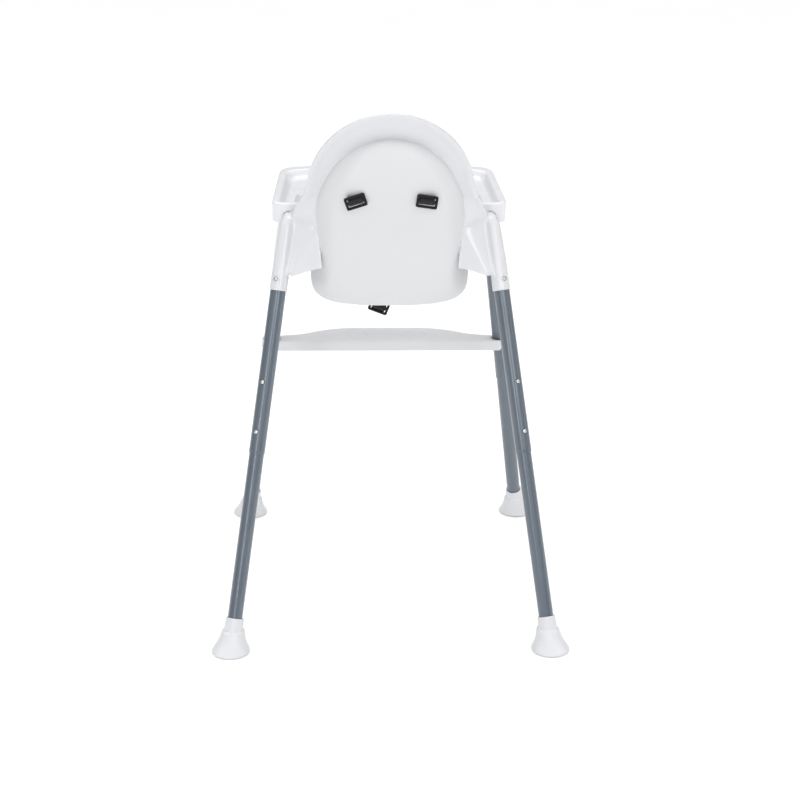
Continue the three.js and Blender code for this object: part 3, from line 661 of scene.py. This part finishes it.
def seat_field(x, y, z):
    """The seat moulding before its bores, holes and slots are cut."""
    x = np.abs(x)
    side, outline = rim_side(y, z), rim_outline(x, z)
    cup = bowl(x, y, z)
    sheet = high_of(rim_line(y, z) - WALL / 2, outline, 2)
    roll = np.sqrt((side - EDGE_R + WALL / 2) ** 2 + (outline + EDGE_R) ** 2) - EDGE_R
    sheet = low_of(sheet, roll, 5)
    rail_y = np.clip(y, -LEG_TOP_Y, LEG_TOP_Y)
    rail = np.sqrt((x - RAIL_X) ** 2 + (y - rail_y) ** 2 + (z - RAIL_Z) ** 2) - RAIL_R
    frame_part = low_of(sheet, rail, 4)
    sockets = {row: field(x, y, z) for row, field in SOCKETS}
    frame_part = low_of(frame_part, low_of(sockets["rear"], web(x, y, z), 5), 3)
    frame_part = low_of(frame_part, sockets["front"], 4)
    body = high_of(cup, side, 1)
    solid = low_of(body, frame_part, 2.2)
    return less(solid, cup + WALL, 2)


def slot_tool(width, depth, height, x, y, z):
    """A rounded block that cuts a strap slot."""
    half = np.array([width, depth, height]) / 2
    mesh = field_mesh("slot", lambda a, b, c: round_box(a, b, c, half, 2), -half - 2, half + 2, 1.0)
    return shifted(mesh, (x, y, z))


# the raised ring round a socket's button hole, as (radius past the hole's, distance off the axis)
HOLE_RING = [(-0.6, 11.5), (2.2, 11.5), (2.0, 15.6), (1.5, 16.1), (0.6, 16.2), (-0.6, 15.9)]


def hole_ring(leg):
    ring = lathe("ring", [(BUTTON_HOLE_R + wide, out) for wide, out in HOLE_RING], 40, closed=True)
    ring.transform(Matrix.Rotation(-math.pi / 2, 4, "X"))
    return in_leg(leg, ring, SOCKET_BUTTON_Z)


def socket_bore(leg):
    low, high = along(leg, SOCKET_MOUTH_Z) - 2, along(leg, UPPER_TOP_Z) + PLAY
    wide = UPPER_R + PLAY
    return in_leg(leg, lathe("bore", [(0, low), (wide, low), (wide, high), (0, high)], 64))


def seat_shell():
    shell = from_field("seat_shell_moulding", seat_field, (-208, -164, 541), (208, 176, 904), 2.0, True)
    legs = LEGS.values()
    boolean(shell, [hole_ring(leg) for leg in legs], "UNION")
    boolean(shell, [socket_bore(leg) for leg in legs])
    boolean(shell, [button_hole(leg, SOCKET_BUTTON_Z) for leg in legs])
    slots = [slot_tool(29, 60, 9, side * ANCHOR_X, 150, ANCHOR_Z + 5) for side in (1, -1)]
    boolean(shell, slots + [slot_tool(27, 5, 40, 0, CROTCH_SLOT_Y, BOWL_BOTTOM_Z)])
    points = np.array([vertex.co[:] for vertex in shell.data.vertices]) / MM
    near = bowl(points[:, 0], points[:, 1], points[:, 2])
    share = 1 - eased(np.abs(near), 0.6, 2.4)
    shell.data.attributes.new("matte", "FLOAT", "POINT").data.foreach_set("value", share.astype(np.float32))
    sharp(shell, 40)
    finished(shell, SHELL, "seat_frame", "seat_shell")


seat_shell()


# ---- tray ----
def bezier(points, count):
    """A curve from its first point to its last, drawn towards those between."""
    t = np.linspace(0, 1, count)[:, None]
    levels = [np.array(point, float) for point in points]
    while len(levels) > 1:
        levels = [a * (1 - t) + b * t for a, b in zip(levels, levels[1:])]
    return levels[0]


def tray_corners(inset=0.0, rear_inset=0.0, front_inset=0.0):
    """The tray's outline in plan, or its recess's when the insets are given."""
    rear, corner = TRAY_REAR_Y - rear_inset, TRAY_CORNER_Y + front_inset
    bay, side, front = BELLY_HALF + inset, TRAY_X - inset, TRAY_FRONT_X - inset
    bay_y, turn = rear - BELLY_DEPTH, TRAY_REAR_ROUND - inset * 0.6
    bow = [(front - 40, corner - 4), (0, corner - 2 * TRAY_BOW + 4), (40 - front, corner - 4)]
    lip = rear - BELLY_DEPTH * 0.9
    half = [bezier([(0, bay_y), (bay * 0.7, bay_y), (bay - 6, lip), (bay + 4, rear)], 20),
            bezier([(side - turn, rear), (side, rear), (side, rear - turn)], 8),
            bezier([(front, corner + 40), (front, corner), bow[0]], 12),
            bezier(bow, 25)[1:13]]
    right = np.concatenate(half)
    return np.concatenate([right, right[::-1] * [-1, 1]])


TRAY_CHART = (-5, -255), (215, 55)
tray_outline = Chart(tray_corners(), *TRAY_CHART)
tray_recess = Chart(tray_corners(TRAY_RIM, TRAY_REAR_RIM, TRAY_FRONT_RIM), *TRAY_CHART)


def tray_field(x, y, z):
    """The tray: a dished plate with a skirt, open below and notched behind for the rails."""
    x = np.abs(x)
    outside, recess = tray_outline(x, y), tray_recess(x, y)
    top = TRAY_TOP_Z - (TRAY_TOP_Z - TRAY_FLOOR_Z) * eased(-recess, 0, TRAY_SLOPE)
    body = high_of(rounded_rim(outside, (z - top) * 0.8, TRAY_EDGE_R), TRAY_SKIRT_Z - z, 1)
    ceiling = np.minimum(top - TRAY_WALL, TRAY_UNDER_Z + 9)
    body = less(body, high_of(outside + TRAY_WALL, (z - ceiling) * 0.9, 2), 1.2)
    hips_top = np.where(y > 30, RIM_Z + 2.3, TRAY_UNDER_Z)
    hips = high_of(high_of(x - LEG_TOP_X, np.abs(y + 12) - 60, 1), z - hips_top, 1)
    body = less(body, hips, 1)
    notch = np.abs(y - RAIL_NOTCH[0]) - RAIL_NOTCH[1]
    arch = high_of(np.sqrt((x - RAIL_X) ** 2 + (z - RAIL_Z) ** 2) - RAIL_R - RAIL_PLAY, notch, 0.3)
    gate = high_of(high_of(np.abs(x - RAIL_X) - RAIL_R - RAIL_PLAY, z - RAIL_Z), notch)
    return less(body, low_of(arch, gate), 0.4)


tray = from_field("tray_moulding", tray_field, (-206, -246, 677), (206, 43, 720), 1.6, True)
finished(sharp(tray, 40), TRAY_PLASTIC_PAINTED_LIGHTER, "tray", "tray")


# ---- footrest ----
def step_corners():
    """The footrest board's outline: straight behind and bowed in front."""
    leg = LEGS["front_left"]
    at = leg["foot"] + leg["up"] * along(leg, STEP_TOP_Z - STEP_THICK / 2)
    bow = [(at.x - 8, at.y - 8), (155, -186), (120, -206), (75, STEP_FRONT_Y), (0, STEP_FRONT_Y - 1)]
    half = np.concatenate([[(0, STEP_REAR_Y), (at.x, STEP_REAR_Y)], through(bow, 40)])
    return np.concatenate([half, half[-2:0:-1] * [-1, 1]])


step_outline = Chart(step_corners(), (-5, -245), (240, -110))


def step_field(x, y, z):
    """The footrest: a ribbed board, hollow below, with a ring at each end round a front leg."""
    x = np.abs(x)
    leg = LEGS["front_left"]
    foot, up = leg["foot"], leg["up"]
    outside = step_outline(x, y)
    ring = np.sqrt((x - foot.x - up.x / up.z * z) ** 2 + (y - foot.y - up.y / up.z * z) ** 2) - STEP_RING_R
    face = np.abs(z - STEP_TOP_Z + STEP_THICK / 2) - STEP_THICK / 2
    body = rounded_rim(low_of(outside, ring, 4), face, STEP_EDGE_R)
    rib = np.abs(x - STEP_RIB_PITCH * np.clip(np.round(x / STEP_RIB_PITCH), 0, 2)) - STEP_RIB / 2
    hollow = high_of(outside + STEP_WALL, z - STEP_TOP_Z + STEP_WALL, 1.5)
    hollow = less(less(hollow, rib, 0.8), ring, 1)
    out = off_leg(leg, x, y, z)[1]
    collar = high_of(out - UPPER_R - 2.2, STEP_TOP_Z - 1.4 - z, 0.6)
    return less(less(less(body, hollow, 1), collar, 0.5), out - UPPER_R - 0.8, 0.8)


def grip_dots():
    """Two rings of low dots that keep small feet from slipping."""
    x, y, wide, deep = DOT_RING
    dots = []
    for side in (1, -1):
        for k in range(DOTS):
            turn = 2 * math.pi * k / DOTS
            at = (side * x + wide * math.cos(turn), y + deep * math.sin(turn), STEP_TOP_Z - 0.25)
            dot = lathe("dot", [(0, 0), (1.5, 0), (1.5, 0.35), (1.2, 0.7), (0.6, 0.9), (0, 0.95)], 14)
            dots.append(shifted(dot, at))
    return dots


step = from_field("footrest_moulding", step_field, (-232, -226, 385), (232, -137, 410), 1.5, True)
boolean(step, grip_dots(), "UNION")
finished(sharp(step, 40), STEP_PLASTIC, "seat_frame", "footrest")


# ---- feet ----
# half sections of the bell, the collar and the hollow below, as (radius, height)
FLARE = [(0, 36.5), (14, 36.5), (18.2, 36), (19.6, 33.5), (21.0, 27.5), (23.2, 20),
         (26.8, 12.2), (30.8, 5.8), (32.2, 2.8), (31.8, 0.6), (30.8, 0), (0, 0)]
COLLAR = [(0, 12), (0, 58.2), (14.6, 58.2), (15.3, 57.6), (15.5, 52), (16.2, 30), (16.2, 12)]
CUP = [(0, -3), (27.5, -3), (27, 1), (24, 8), (15, 13), (0, 13)]
FOOT_CHART = (-1, -5), (40, 66), 0.5
flare_chart = Chart(cut_corners(FLARE, 1, True), *FOOT_CHART)
collar_chart = Chart(COLLAR, *FOOT_CHART)
cup_chart = Chart(CUP, *FOOT_CHART)


def foot_mesh(leg):
    """A bell square on the floor under a collar that leans with its leg."""
    tilt = leg["up"].x / leg["up"].z, leg["up"].y / leg["up"].z

    def field(x, y, z):
        level = np.sqrt((x - tilt[0] * z) ** 2 + (y - tilt[1] * z) ** 2)
        rise, out = off_leg(leg, x + leg["foot"].x, y + leg["foot"].y, z)
        body = low_of(flare_chart(level, z), collar_chart(out, rise), 1.6)
        body = less(body, cup_chart(level, z), 1)
        bore_end = along(leg, LOWER_BOTTOM_Z) - PLAY
        body = less(body, high_of(out - LOWER_R - PLAY, bore_end - rise, 0.6), 0.8)
        return high_of(body, -z, 0.3)

    low = (-36 - 8 * (leg["side"] > 0), -36 - 20 * (leg["back"] > 0), -1.5)
    high = (36 + 8 * (leg["side"] < 0), 36 + 20 * (leg["back"] < 0), 60)
    return shifted(field_mesh("foot", field, low, high, 1.0), leg["foot"])


for name, leg in LEGS.items():
    foot = new_object(f"foot_cap_{name}", foot_mesh(leg))
    finished(sharp(foot, 40), FOOT_PLASTIC, "lower_leg_" + name, "foot_" + name)


# ---- tubes and snap buttons ----
def tube(name, leg, ends, radii, holes, curl=0.0):
    """A round tube with button holes; curl rolls its lower end inward."""
    (low, high), (outer, bore) = (along(leg, z) for z in ends), radii
    bottom = [(bore + 0.15, low + 0.2), (outer - curl - 0.2, low),
              (outer - 0.35 * curl, low + 0.25 * curl), (outer, low + 1.1 * curl + 0.3)]
    top = [(outer, high - 0.5), (outer - 0.3, high), (bore + 0.2, high), (bore, high - 0.4)]
    levels = np.linspace(low + 6, high - 6, 12)
    profile = bottom + [(outer, z) for z in levels] + top + [(bore, z) for z in levels[::-1]]
    made = new_object(name, in_leg(leg, lathe(name, profile, 80, closed=True)))
    boolean(made, [button_hole(leg, z) for z in holes])
    return sharp(made, 35)


def along_line(line, section):
    """A section, as (across, out) pairs, set square to a flat line at each of its points."""
    ahead = np.gradient(line, axis=0)
    ahead /= np.linalg.norm(ahead, axis=1, keepdims=True)
    out = np.stack([-ahead[:, 1], ahead[:, 0]], -1)
    rows = line[:, None, :] + out[:, None, :] * section[None, :, 1:2]
    across = np.broadcast_to(section[None, :, :1], rows.shape[:2] + (1,))
    return np.concatenate([across, rows], -1).reshape(-1, 3)


def strip_faces(rows, columns):
    """The faces of a closed section carried along a line, and its ends."""
    last = columns * (rows - 1)
    caps = [list(range(columns))[::-1], list(range(last, last + columns))]
    return [grid_faces(rows, columns, False, True), caps]


def snap_clip(bore, proud):
    """A bent strip of spring steel with a domed button near one end."""
    arm, far = bore - SPRING_SLACK, 1.2 - bore
    bend, tip, foot = -17.5, 7, -12
    line = [(arm, tip), (arm, foot), (arm * 0.6, bend), (far * 0.6, bend), (far, foot), (far, tip)]
    line = through(line, 40)
    section = np.array([(-1, -1), (1, -1), (1, 1), (-1, 1)]) * (SPRING_WIDE / 2, SPRING_THICK / 2)
    strip = mesh_from_faces("spring", along_line(line, section), strip_faces(len(line), len(section)))
    turns = np.linspace(0, math.pi / 2, 9)[:-1]
    dome = [(BUTTON_R * math.cos(t), proud - DOME_RISE + DOME_RISE * math.sin(t)) for t in turns]
    stem = [(0, arm), (BUTTON_R + 0.25, arm), (BUTTON_R + 0.25, arm + 0.6), (BUTTON_R, arm + 0.9)]
    head = lathe("button", stem + dome + [(0, proud)], 36)
    head.transform(Matrix.Rotation(-math.pi / 2, 4, "X"))
    return joined("snap_clip", [strip, head])


def sprung(name, leg, z, size, body):
    """A clip of spring steel with its button, set in a leg at a height, in place of the CAD clip it hides."""
    clip = new_object(name, in_leg(leg, snap_clip(*size), z))
    NICKEL.on(sharp(clip, 45))
    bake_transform(clip)
    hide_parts(body)


for name, leg in LEGS.items():
    lower_leg, holes = "lower_leg_" + name, list(LEG_BUTTON_Z.values())
    upper = tube("upper_leg_tube_" + name, leg, (JOINT_Z, UPPER_TOP_Z), (UPPER_R, UPPER_BORE_R),
                 holes + [SOCKET_BUTTON_Z], 0.6)
    lower = tube("lower_leg_tube_" + name, leg, (LOWER_BOTTOM_Z, LOWER_TOP_Z), (LOWER_R, LOWER_BORE_R), holes)
    finished(upper, SLATE, "seat_frame", "upper_tube_" + name)
    finished(lower, SLATE, lower_leg, "lower_tube_" + name)
    for end, z in LEG_BUTTON_Z.items():
        sprung(f"leg_button_{name}_{end}", leg, z, (LOWER_BORE_R, UPPER_R + 2.4),
               f"leg_snap_clip_{name}_{end}")
    sprung("seat_button_" + name, leg, SOCKET_BUTTON_Z, (UPPER_BORE_R, SOCKET_MOUTH_R + 2),
           "seat_snap_clip_" + name)


# ---- harness ----
# how webbing threads a slide, as (out, up) from its middle bar: a shoulder strap ends behind the bar, and
# the crotch strap carries on below it
WRAPPED = [(-1.2, 5.4), (1.6, 4.9), (3.1, 3.2), (3.3, 0)]
SLIDE_LOOP = WRAPPED + [(3.1, -2.6), (1.8, -4.0), (-0.6, -4.3), (-2.6, -3.9)]
FREE_END = WRAPPED + [(3.1, -3.2), (1.6, -4.9), (-1.2, -5.2), (-3, -7.4), (-3.1, -11)]


def thread_slide(y, z, lean, loop):
    """A loop round the middle bar of a slide, in Y and Z."""
    c, s = math.cos(lean), math.sin(lean)
    return [(y + out * c - up * s, z + out * s + up * c) for out, up in loop]


SIDE_LINE = [(34, 556.4), (27, 556.2), (23, 557.6), (22.4, 560.5), (23.2, 563), (27, 564.6),
             (36, 563.6), (60, 557), (83, 556.6), (94.5, 563.5), (101.5, 576.5), (106.5, 600),
             (113.5, 645), (119.2, 697), (128.2, 735), (132.6, 748.3), (138, 754.6), (147.1, 755.4)]
SIDE_LINE += thread_slide(GLIDE_Y, GLIDE_Z, GLIDE_LEAN, SLIDE_LOOP)
CROTCH_LINE = [(-17.5, 559), (-25, 559), (-35, 557.5), (-42, 554), (-45, 548.5), (-46, 540),
               (-48.2, 526), (-48.6, 514), (-47.6, 509)]
CROTCH_LINE += thread_slide(CROTCH_SLOT_Y, CROTCH_SLIDE_Z, 0, FREE_END)
CROTCH_TILT = math.radians(-21)
CROTCH_SWING = np.array([0, CROTCH_SLOT_Y, 545.0])


def turned_about(points, middle, angle):
    """Points turned about an axis along Y; angle may differ from point to point."""
    c, s = np.cos(angle), np.sin(angle)
    x, z = points[:, 0] - middle[0], points[:, 2] - middle[2]
    return np.stack([middle[0] + x * c + z * s, points[:, 1], middle[2] - x * s + z * c], -1)


def strap_section():
    """The webbing's section: a flat band, thinner in the middle, with round selvedges."""
    half, thick = STRAP_WIDTH / 2, STRAP_THICK / 2
    columns = np.linspace(-half + 0.5, half - 0.5, 13)
    band = [(u, thick * (0.86 + 0.14 * abs(u) / half)) for u in columns]
    selvedge = [(half - 0.1, thick * 0.7), (half, 0), (half - 0.1, -thick * 0.7)]
    half_turn = band + selvedge
    return np.array(half_turn + [(-u, -v) for u, v in half_turn])


def strap(name, line, move, count):
    """Webbing along a line in Y and Z; move then takes its points to their places."""
    line, section = through(line, count), strap_section()
    run = np.arange(count) * np.linalg.norm(np.diff(line, axis=0), axis=1).mean()
    points = along_line(line, section)
    weave = [np.repeat(run, len(section)), np.tile(section[:, 0], count), np.zeros(len(points))]
    mesh = outward(mesh_from_faces(name, move(points), strip_faces(count, len(section))))
    layer = mesh.attributes.new("weave", "FLOAT_VECTOR", "POINT")
    layer.data.foreach_set("vector", np.stack(weave, -1).astype(np.float32).ravel())
    return sharp(new_object(name, mesh), 60)


def side_strap(name, side, tilt):
    """A shoulder strap, which spreads from its tongue to its slot and turns with its slide."""
    slide = np.array([side * ANCHOR_X, GLIDE_Y, GLIDE_Z])

    def move(points):
        spread = ramp(points[:, 1], 36, 128)
        moved = points + side * np.outer(TONGUE_X + (ANCHOR_X - TONGUE_X) * spread, (1, 0, 0))
        behind = (points[:, 1] > 143.6) & (points[:, 2] < GLIDE_Z - 4)
        return turned_about(moved, slide, tilt * np.where(behind, 1, ramp(points[:, 1], 143, 149)))

    return strap("shoulder_strap_" + name, SIDE_LINE, move, 260)


def hung(points):
    """The crotch strap's points, swung sideways below its slot."""
    return turned_about(points, CROTCH_SWING, CROTCH_TILT * ramp(points[:, 2], 545, 527))


def slide_field(x, y, z):
    """A strap slide: a rounded plate with two slots and a round bar between them."""
    plate = high_of(round_box(x, y, z, (18, 2.1, 12), 2.0), round_box(x, 0, z, (18, 50, 12), 4.2), 0.6)
    windows = round_box(x, 0, np.abs(z) - 5, (13.5, 50, 2.5), 1.2)
    bar = np.sqrt((y * 0.8) ** 2 + (z * 0.9) ** 2) - 2.2
    return low_of(less(plate, windows, 1.0), high_of(bar, np.abs(x) - 15, 0.5), 0.5)


def placed_slide(name, at, lean, tilt, node):
    mesh = field_mesh(name, slide_field, (-19, -3.2, -13), (19, 3.2, 13), 0.45)
    turn = Matrix.Rotation(tilt, 4, "Y") @ Matrix.Rotation(lean, 4, "X")
    mesh.transform(Matrix.Translation(Vector(at) * MM) @ turn)
    finished(new_object(name, mesh), BLACK_PLASTIC, "seat_frame", node)


def buckle_field(x, y, z):
    """The buckle: a crowned box with two tongue slots, a webbing slot and a well for its button."""
    y, z = y - BUCKLE_Y, z - BUCKLE_Z
    half = (29, BUCKLE_DEPTH / 2, BUCKLE_THICK / 2)
    box = round_box(x, y, z, half, 3.4)
    crown = np.sqrt(x**2 + (y + 2) ** 2 + (z + 62) ** 2) - 68.9
    body = high_of(box, round_box(x, y, 0, (half[0], half[1], 50), 9), 1)
    body = high_of(low_of(body, crown, 3), box, 0.5)
    tongues = round_box(np.abs(x) - TONGUE_X, y - half[1], z, (7.5, 11, 1.9), 0.5)
    web_slot = round_box(x, y + half[1], z + 1.5, (13, 8, 1.4), 0.6)
    well = np.sqrt(x * x + (y - RELEASE_Y + BUCKLE_Y) ** 2) - RELEASE_R - PLAY
    well = high_of(well, half[2] - 9 - z, 0.5)
    return less(less(less(body, tongues, 0.5), web_slot, 0.5), well, 0.8)


def tongue_field(x, y, z):
    """A buckle tongue: a flat frame for the webbing, and a tip that goes into the buckle."""
    y = y - BUCKLE_DEPTH / 2
    plate = round_box(x, y - 7.8, z, (14.2, 7.2, 1.4), 1.0)
    loop = high_of(plate, round_box(x, y - 7.8, 0, (14.2, 7.2, 9), 3), 0.4)
    loop = less(loop, round_box(x, y - 7.6, 0, (12.5, 3, 9), 0.8), 0.8)
    return low_of(loop, round_box(x, y + 3, z, (7, 6, 1.4), 0.9), 1.0)


def release_button():
    """A round button whose face is dished for a fingertip."""
    wall = ((0.1, -6), (0.1, 0.4), (0.4, 1.0), (1.2, 1.35), (2.2, 1.25))
    side = [(RELEASE_R - inset, rise) for inset, rise in wall]
    mesh = lathe("harness_release", [(0, -6)] + side + [(4, 0.85), (2, 0.75), (0, 0.72)])
    mesh = shifted(mesh, (0, RELEASE_Y, BUCKLE_Z + BUCKLE_THICK / 2))
    return sharp(new_object("harness_release", mesh), 50)


for name, side, tilt in (("left", 1, math.radians(18)), ("right", -1, math.radians(-8))):
    finished(side_strap(name, side, tilt), WEBBING, "seat_frame", "side_strap_" + name)
    slot = (side * ANCHOR_X, GLIDE_Y, GLIDE_Z)
    placed_slide("shoulder_slide_" + name, slot, GLIDE_LEAN, tilt, "strap_slide_" + name)
finished(strap("crotch_webbing", CROTCH_LINE, hung, 160), WEBBING, "seat_frame", "crotch_strap")
hang = hung(np.array([[0, CROTCH_SLOT_Y, CROTCH_SLIDE_Z]]))[0]
placed_slide("crotch_slide", hang, 0, CROTCH_TILT, "strap_slide_crotch")
buckle = from_field("harness_buckle", buckle_field, (-31, -26, 552), (31, 18, 569), 0.8)
finished(sharp(buckle, 40), BLACK_PLASTIC, "seat_frame", "buckle_body")
for name, x in (("left", TONGUE_X), ("right", -TONGUE_X)):
    tongue = from_field("harness_tongue_" + name, tongue_field, (-16, 9, -2.5), (16, 37, 2.5), 0.6)
    shifted(tongue.data, (x, BUCKLE_Y, BUCKLE_Z))
    finished(sharp(tongue, 40), BLACK_PLASTIC, "seat_frame", "buckle_tongue_" + name)
finished(release_button(), BLACK_PLASTIC, "release", "buckle_release_button")


# ---- floor, lights and camera ----
FLOOR_REACH, FLOOR_Z = 30000.0, -0.5


def floor():
    """A pale floor that runs past the horizon."""
    count = 24
    line = np.linspace(-FLOOR_REACH, FLOOR_REACH, count)
    a, b = np.meshgrid(line, line, indexing="ij")
    points = np.stack([a.ravel(), b.ravel(), np.full(a.size, FLOOR_Z)], -1)
    mesh = mesh_from_faces("studio_floor", points, [grid_faces(count, count)[:, ::-1]])
    made = new_object("studio_floor", mesh)
    paint = Surface("studio_floor", None)
    clouds = paint.spread(paint.noise(0.6, 3), 0, 1)
    paint.to("Base Color", paint.mix(clouds, (0.96, 0.96, 0.96), (0.95, 0.95, 0.95)))
    paint.to("Roughness", paint.spread(paint.noise(4, 3), 0.75, 0.9))
    paint.on(made)


def area(name, at, size, power, aim=(0, 0, 0.6)):
    """A rectangular white lamp: its place and size in metres, its watts and its aim."""
    light = bpy.data.lights.new(name, "AREA")
    light.shape, light.size, light.size_y, light.energy = "RECTANGLE", *size, power
    lamp = new_object(name, light)
    lamp.location = at
    lamp.rotation_mode = "QUATERNION"
    lamp.rotation_quaternion = (Vector(aim) - Vector(at)).to_track_quat("-Z", "Y")


def sky(low, high):
    """A dome of light, dimmer at the horizon, so that upright faces get darker rims."""
    world = bpy.data.worlds.new("studio")
    world.use_nodes = True
    nodes, link = world.node_tree.nodes, world.node_tree.links.new
    way, rise = nodes.new("ShaderNodeSeparateXYZ"), nodes.new("ShaderNodeMapRange")
    link(nodes.new("ShaderNodeTexCoord").outputs["Generated"], way.inputs[0])
    link(way.outputs[2], rise.inputs["Value"])
    rise.inputs["To Min"].default_value, rise.inputs["To Max"].default_value = low, high
    rise.interpolation_type = "SMOOTHSTEP"
    nodes["Background"].inputs["Color"].default_value = (1, 1, 1, 1)
    link(rise.outputs[0], nodes["Background"].inputs["Strength"])
    bpy.context.scene.world = world


floor()
area("key", (-1.2, 4.0, 2.3), (1.4, 1.4), 28)
area("fill", (1.2, 4.0, 1.6), (1.2, 1.4), 18, (0, 0, 0.5))
area("strip_left", (0.95, 3.0, 0.8), (0.03, 1.8), 4.5)
area("strip_right", (-3.0, 0.5, 0.8), (0.1, 1.8), 4)
area("rim_left", (2.8, 0.8, 2.4), (0.3, 0.3), 9, (0, 0.1, 0.8))
area("rim_right", (-2.6, 0.8, 2.6), (0.3, 0.3), 9, (0, 0.1, 0.8))
area("front", (0.3, -2.2, 3.0), (2.0, 2.0), 20)
sky(0.0, 1.5)
bpy.context.scene.view_settings.view_transform = "Standard"

CAMERA_AT = (0.093, 3.55, 1.658)
YAW, PITCH, ROLL = math.radians(1.85), math.radians(20.3), math.radians(-0.46)
FOCAL, SENSOR = 95.67, 36.0
ahead = Vector((-math.sin(YAW) * math.cos(PITCH), -math.cos(YAW) * math.cos(PITCH), -math.sin(PITCH)))
level = Vector((-math.cos(YAW), math.sin(YAW), 0))
upright = level.cross(ahead)
right = level * math.cos(ROLL) - upright * math.sin(ROLL)
above = level * math.sin(ROLL) + upright * math.cos(ROLL)
camera_data = bpy.data.cameras.new("camera")
camera_data.lens, camera_data.sensor_width = FOCAL, SENSOR
camera = new_object("camera", camera_data)
rows = [[right[k], above[k], -ahead[k], CAMERA_AT[k]] for k in range(3)]
camera.matrix_world = Matrix(rows + [[0, 0, 0, 1]])
bpy.context.scene.camera = camera
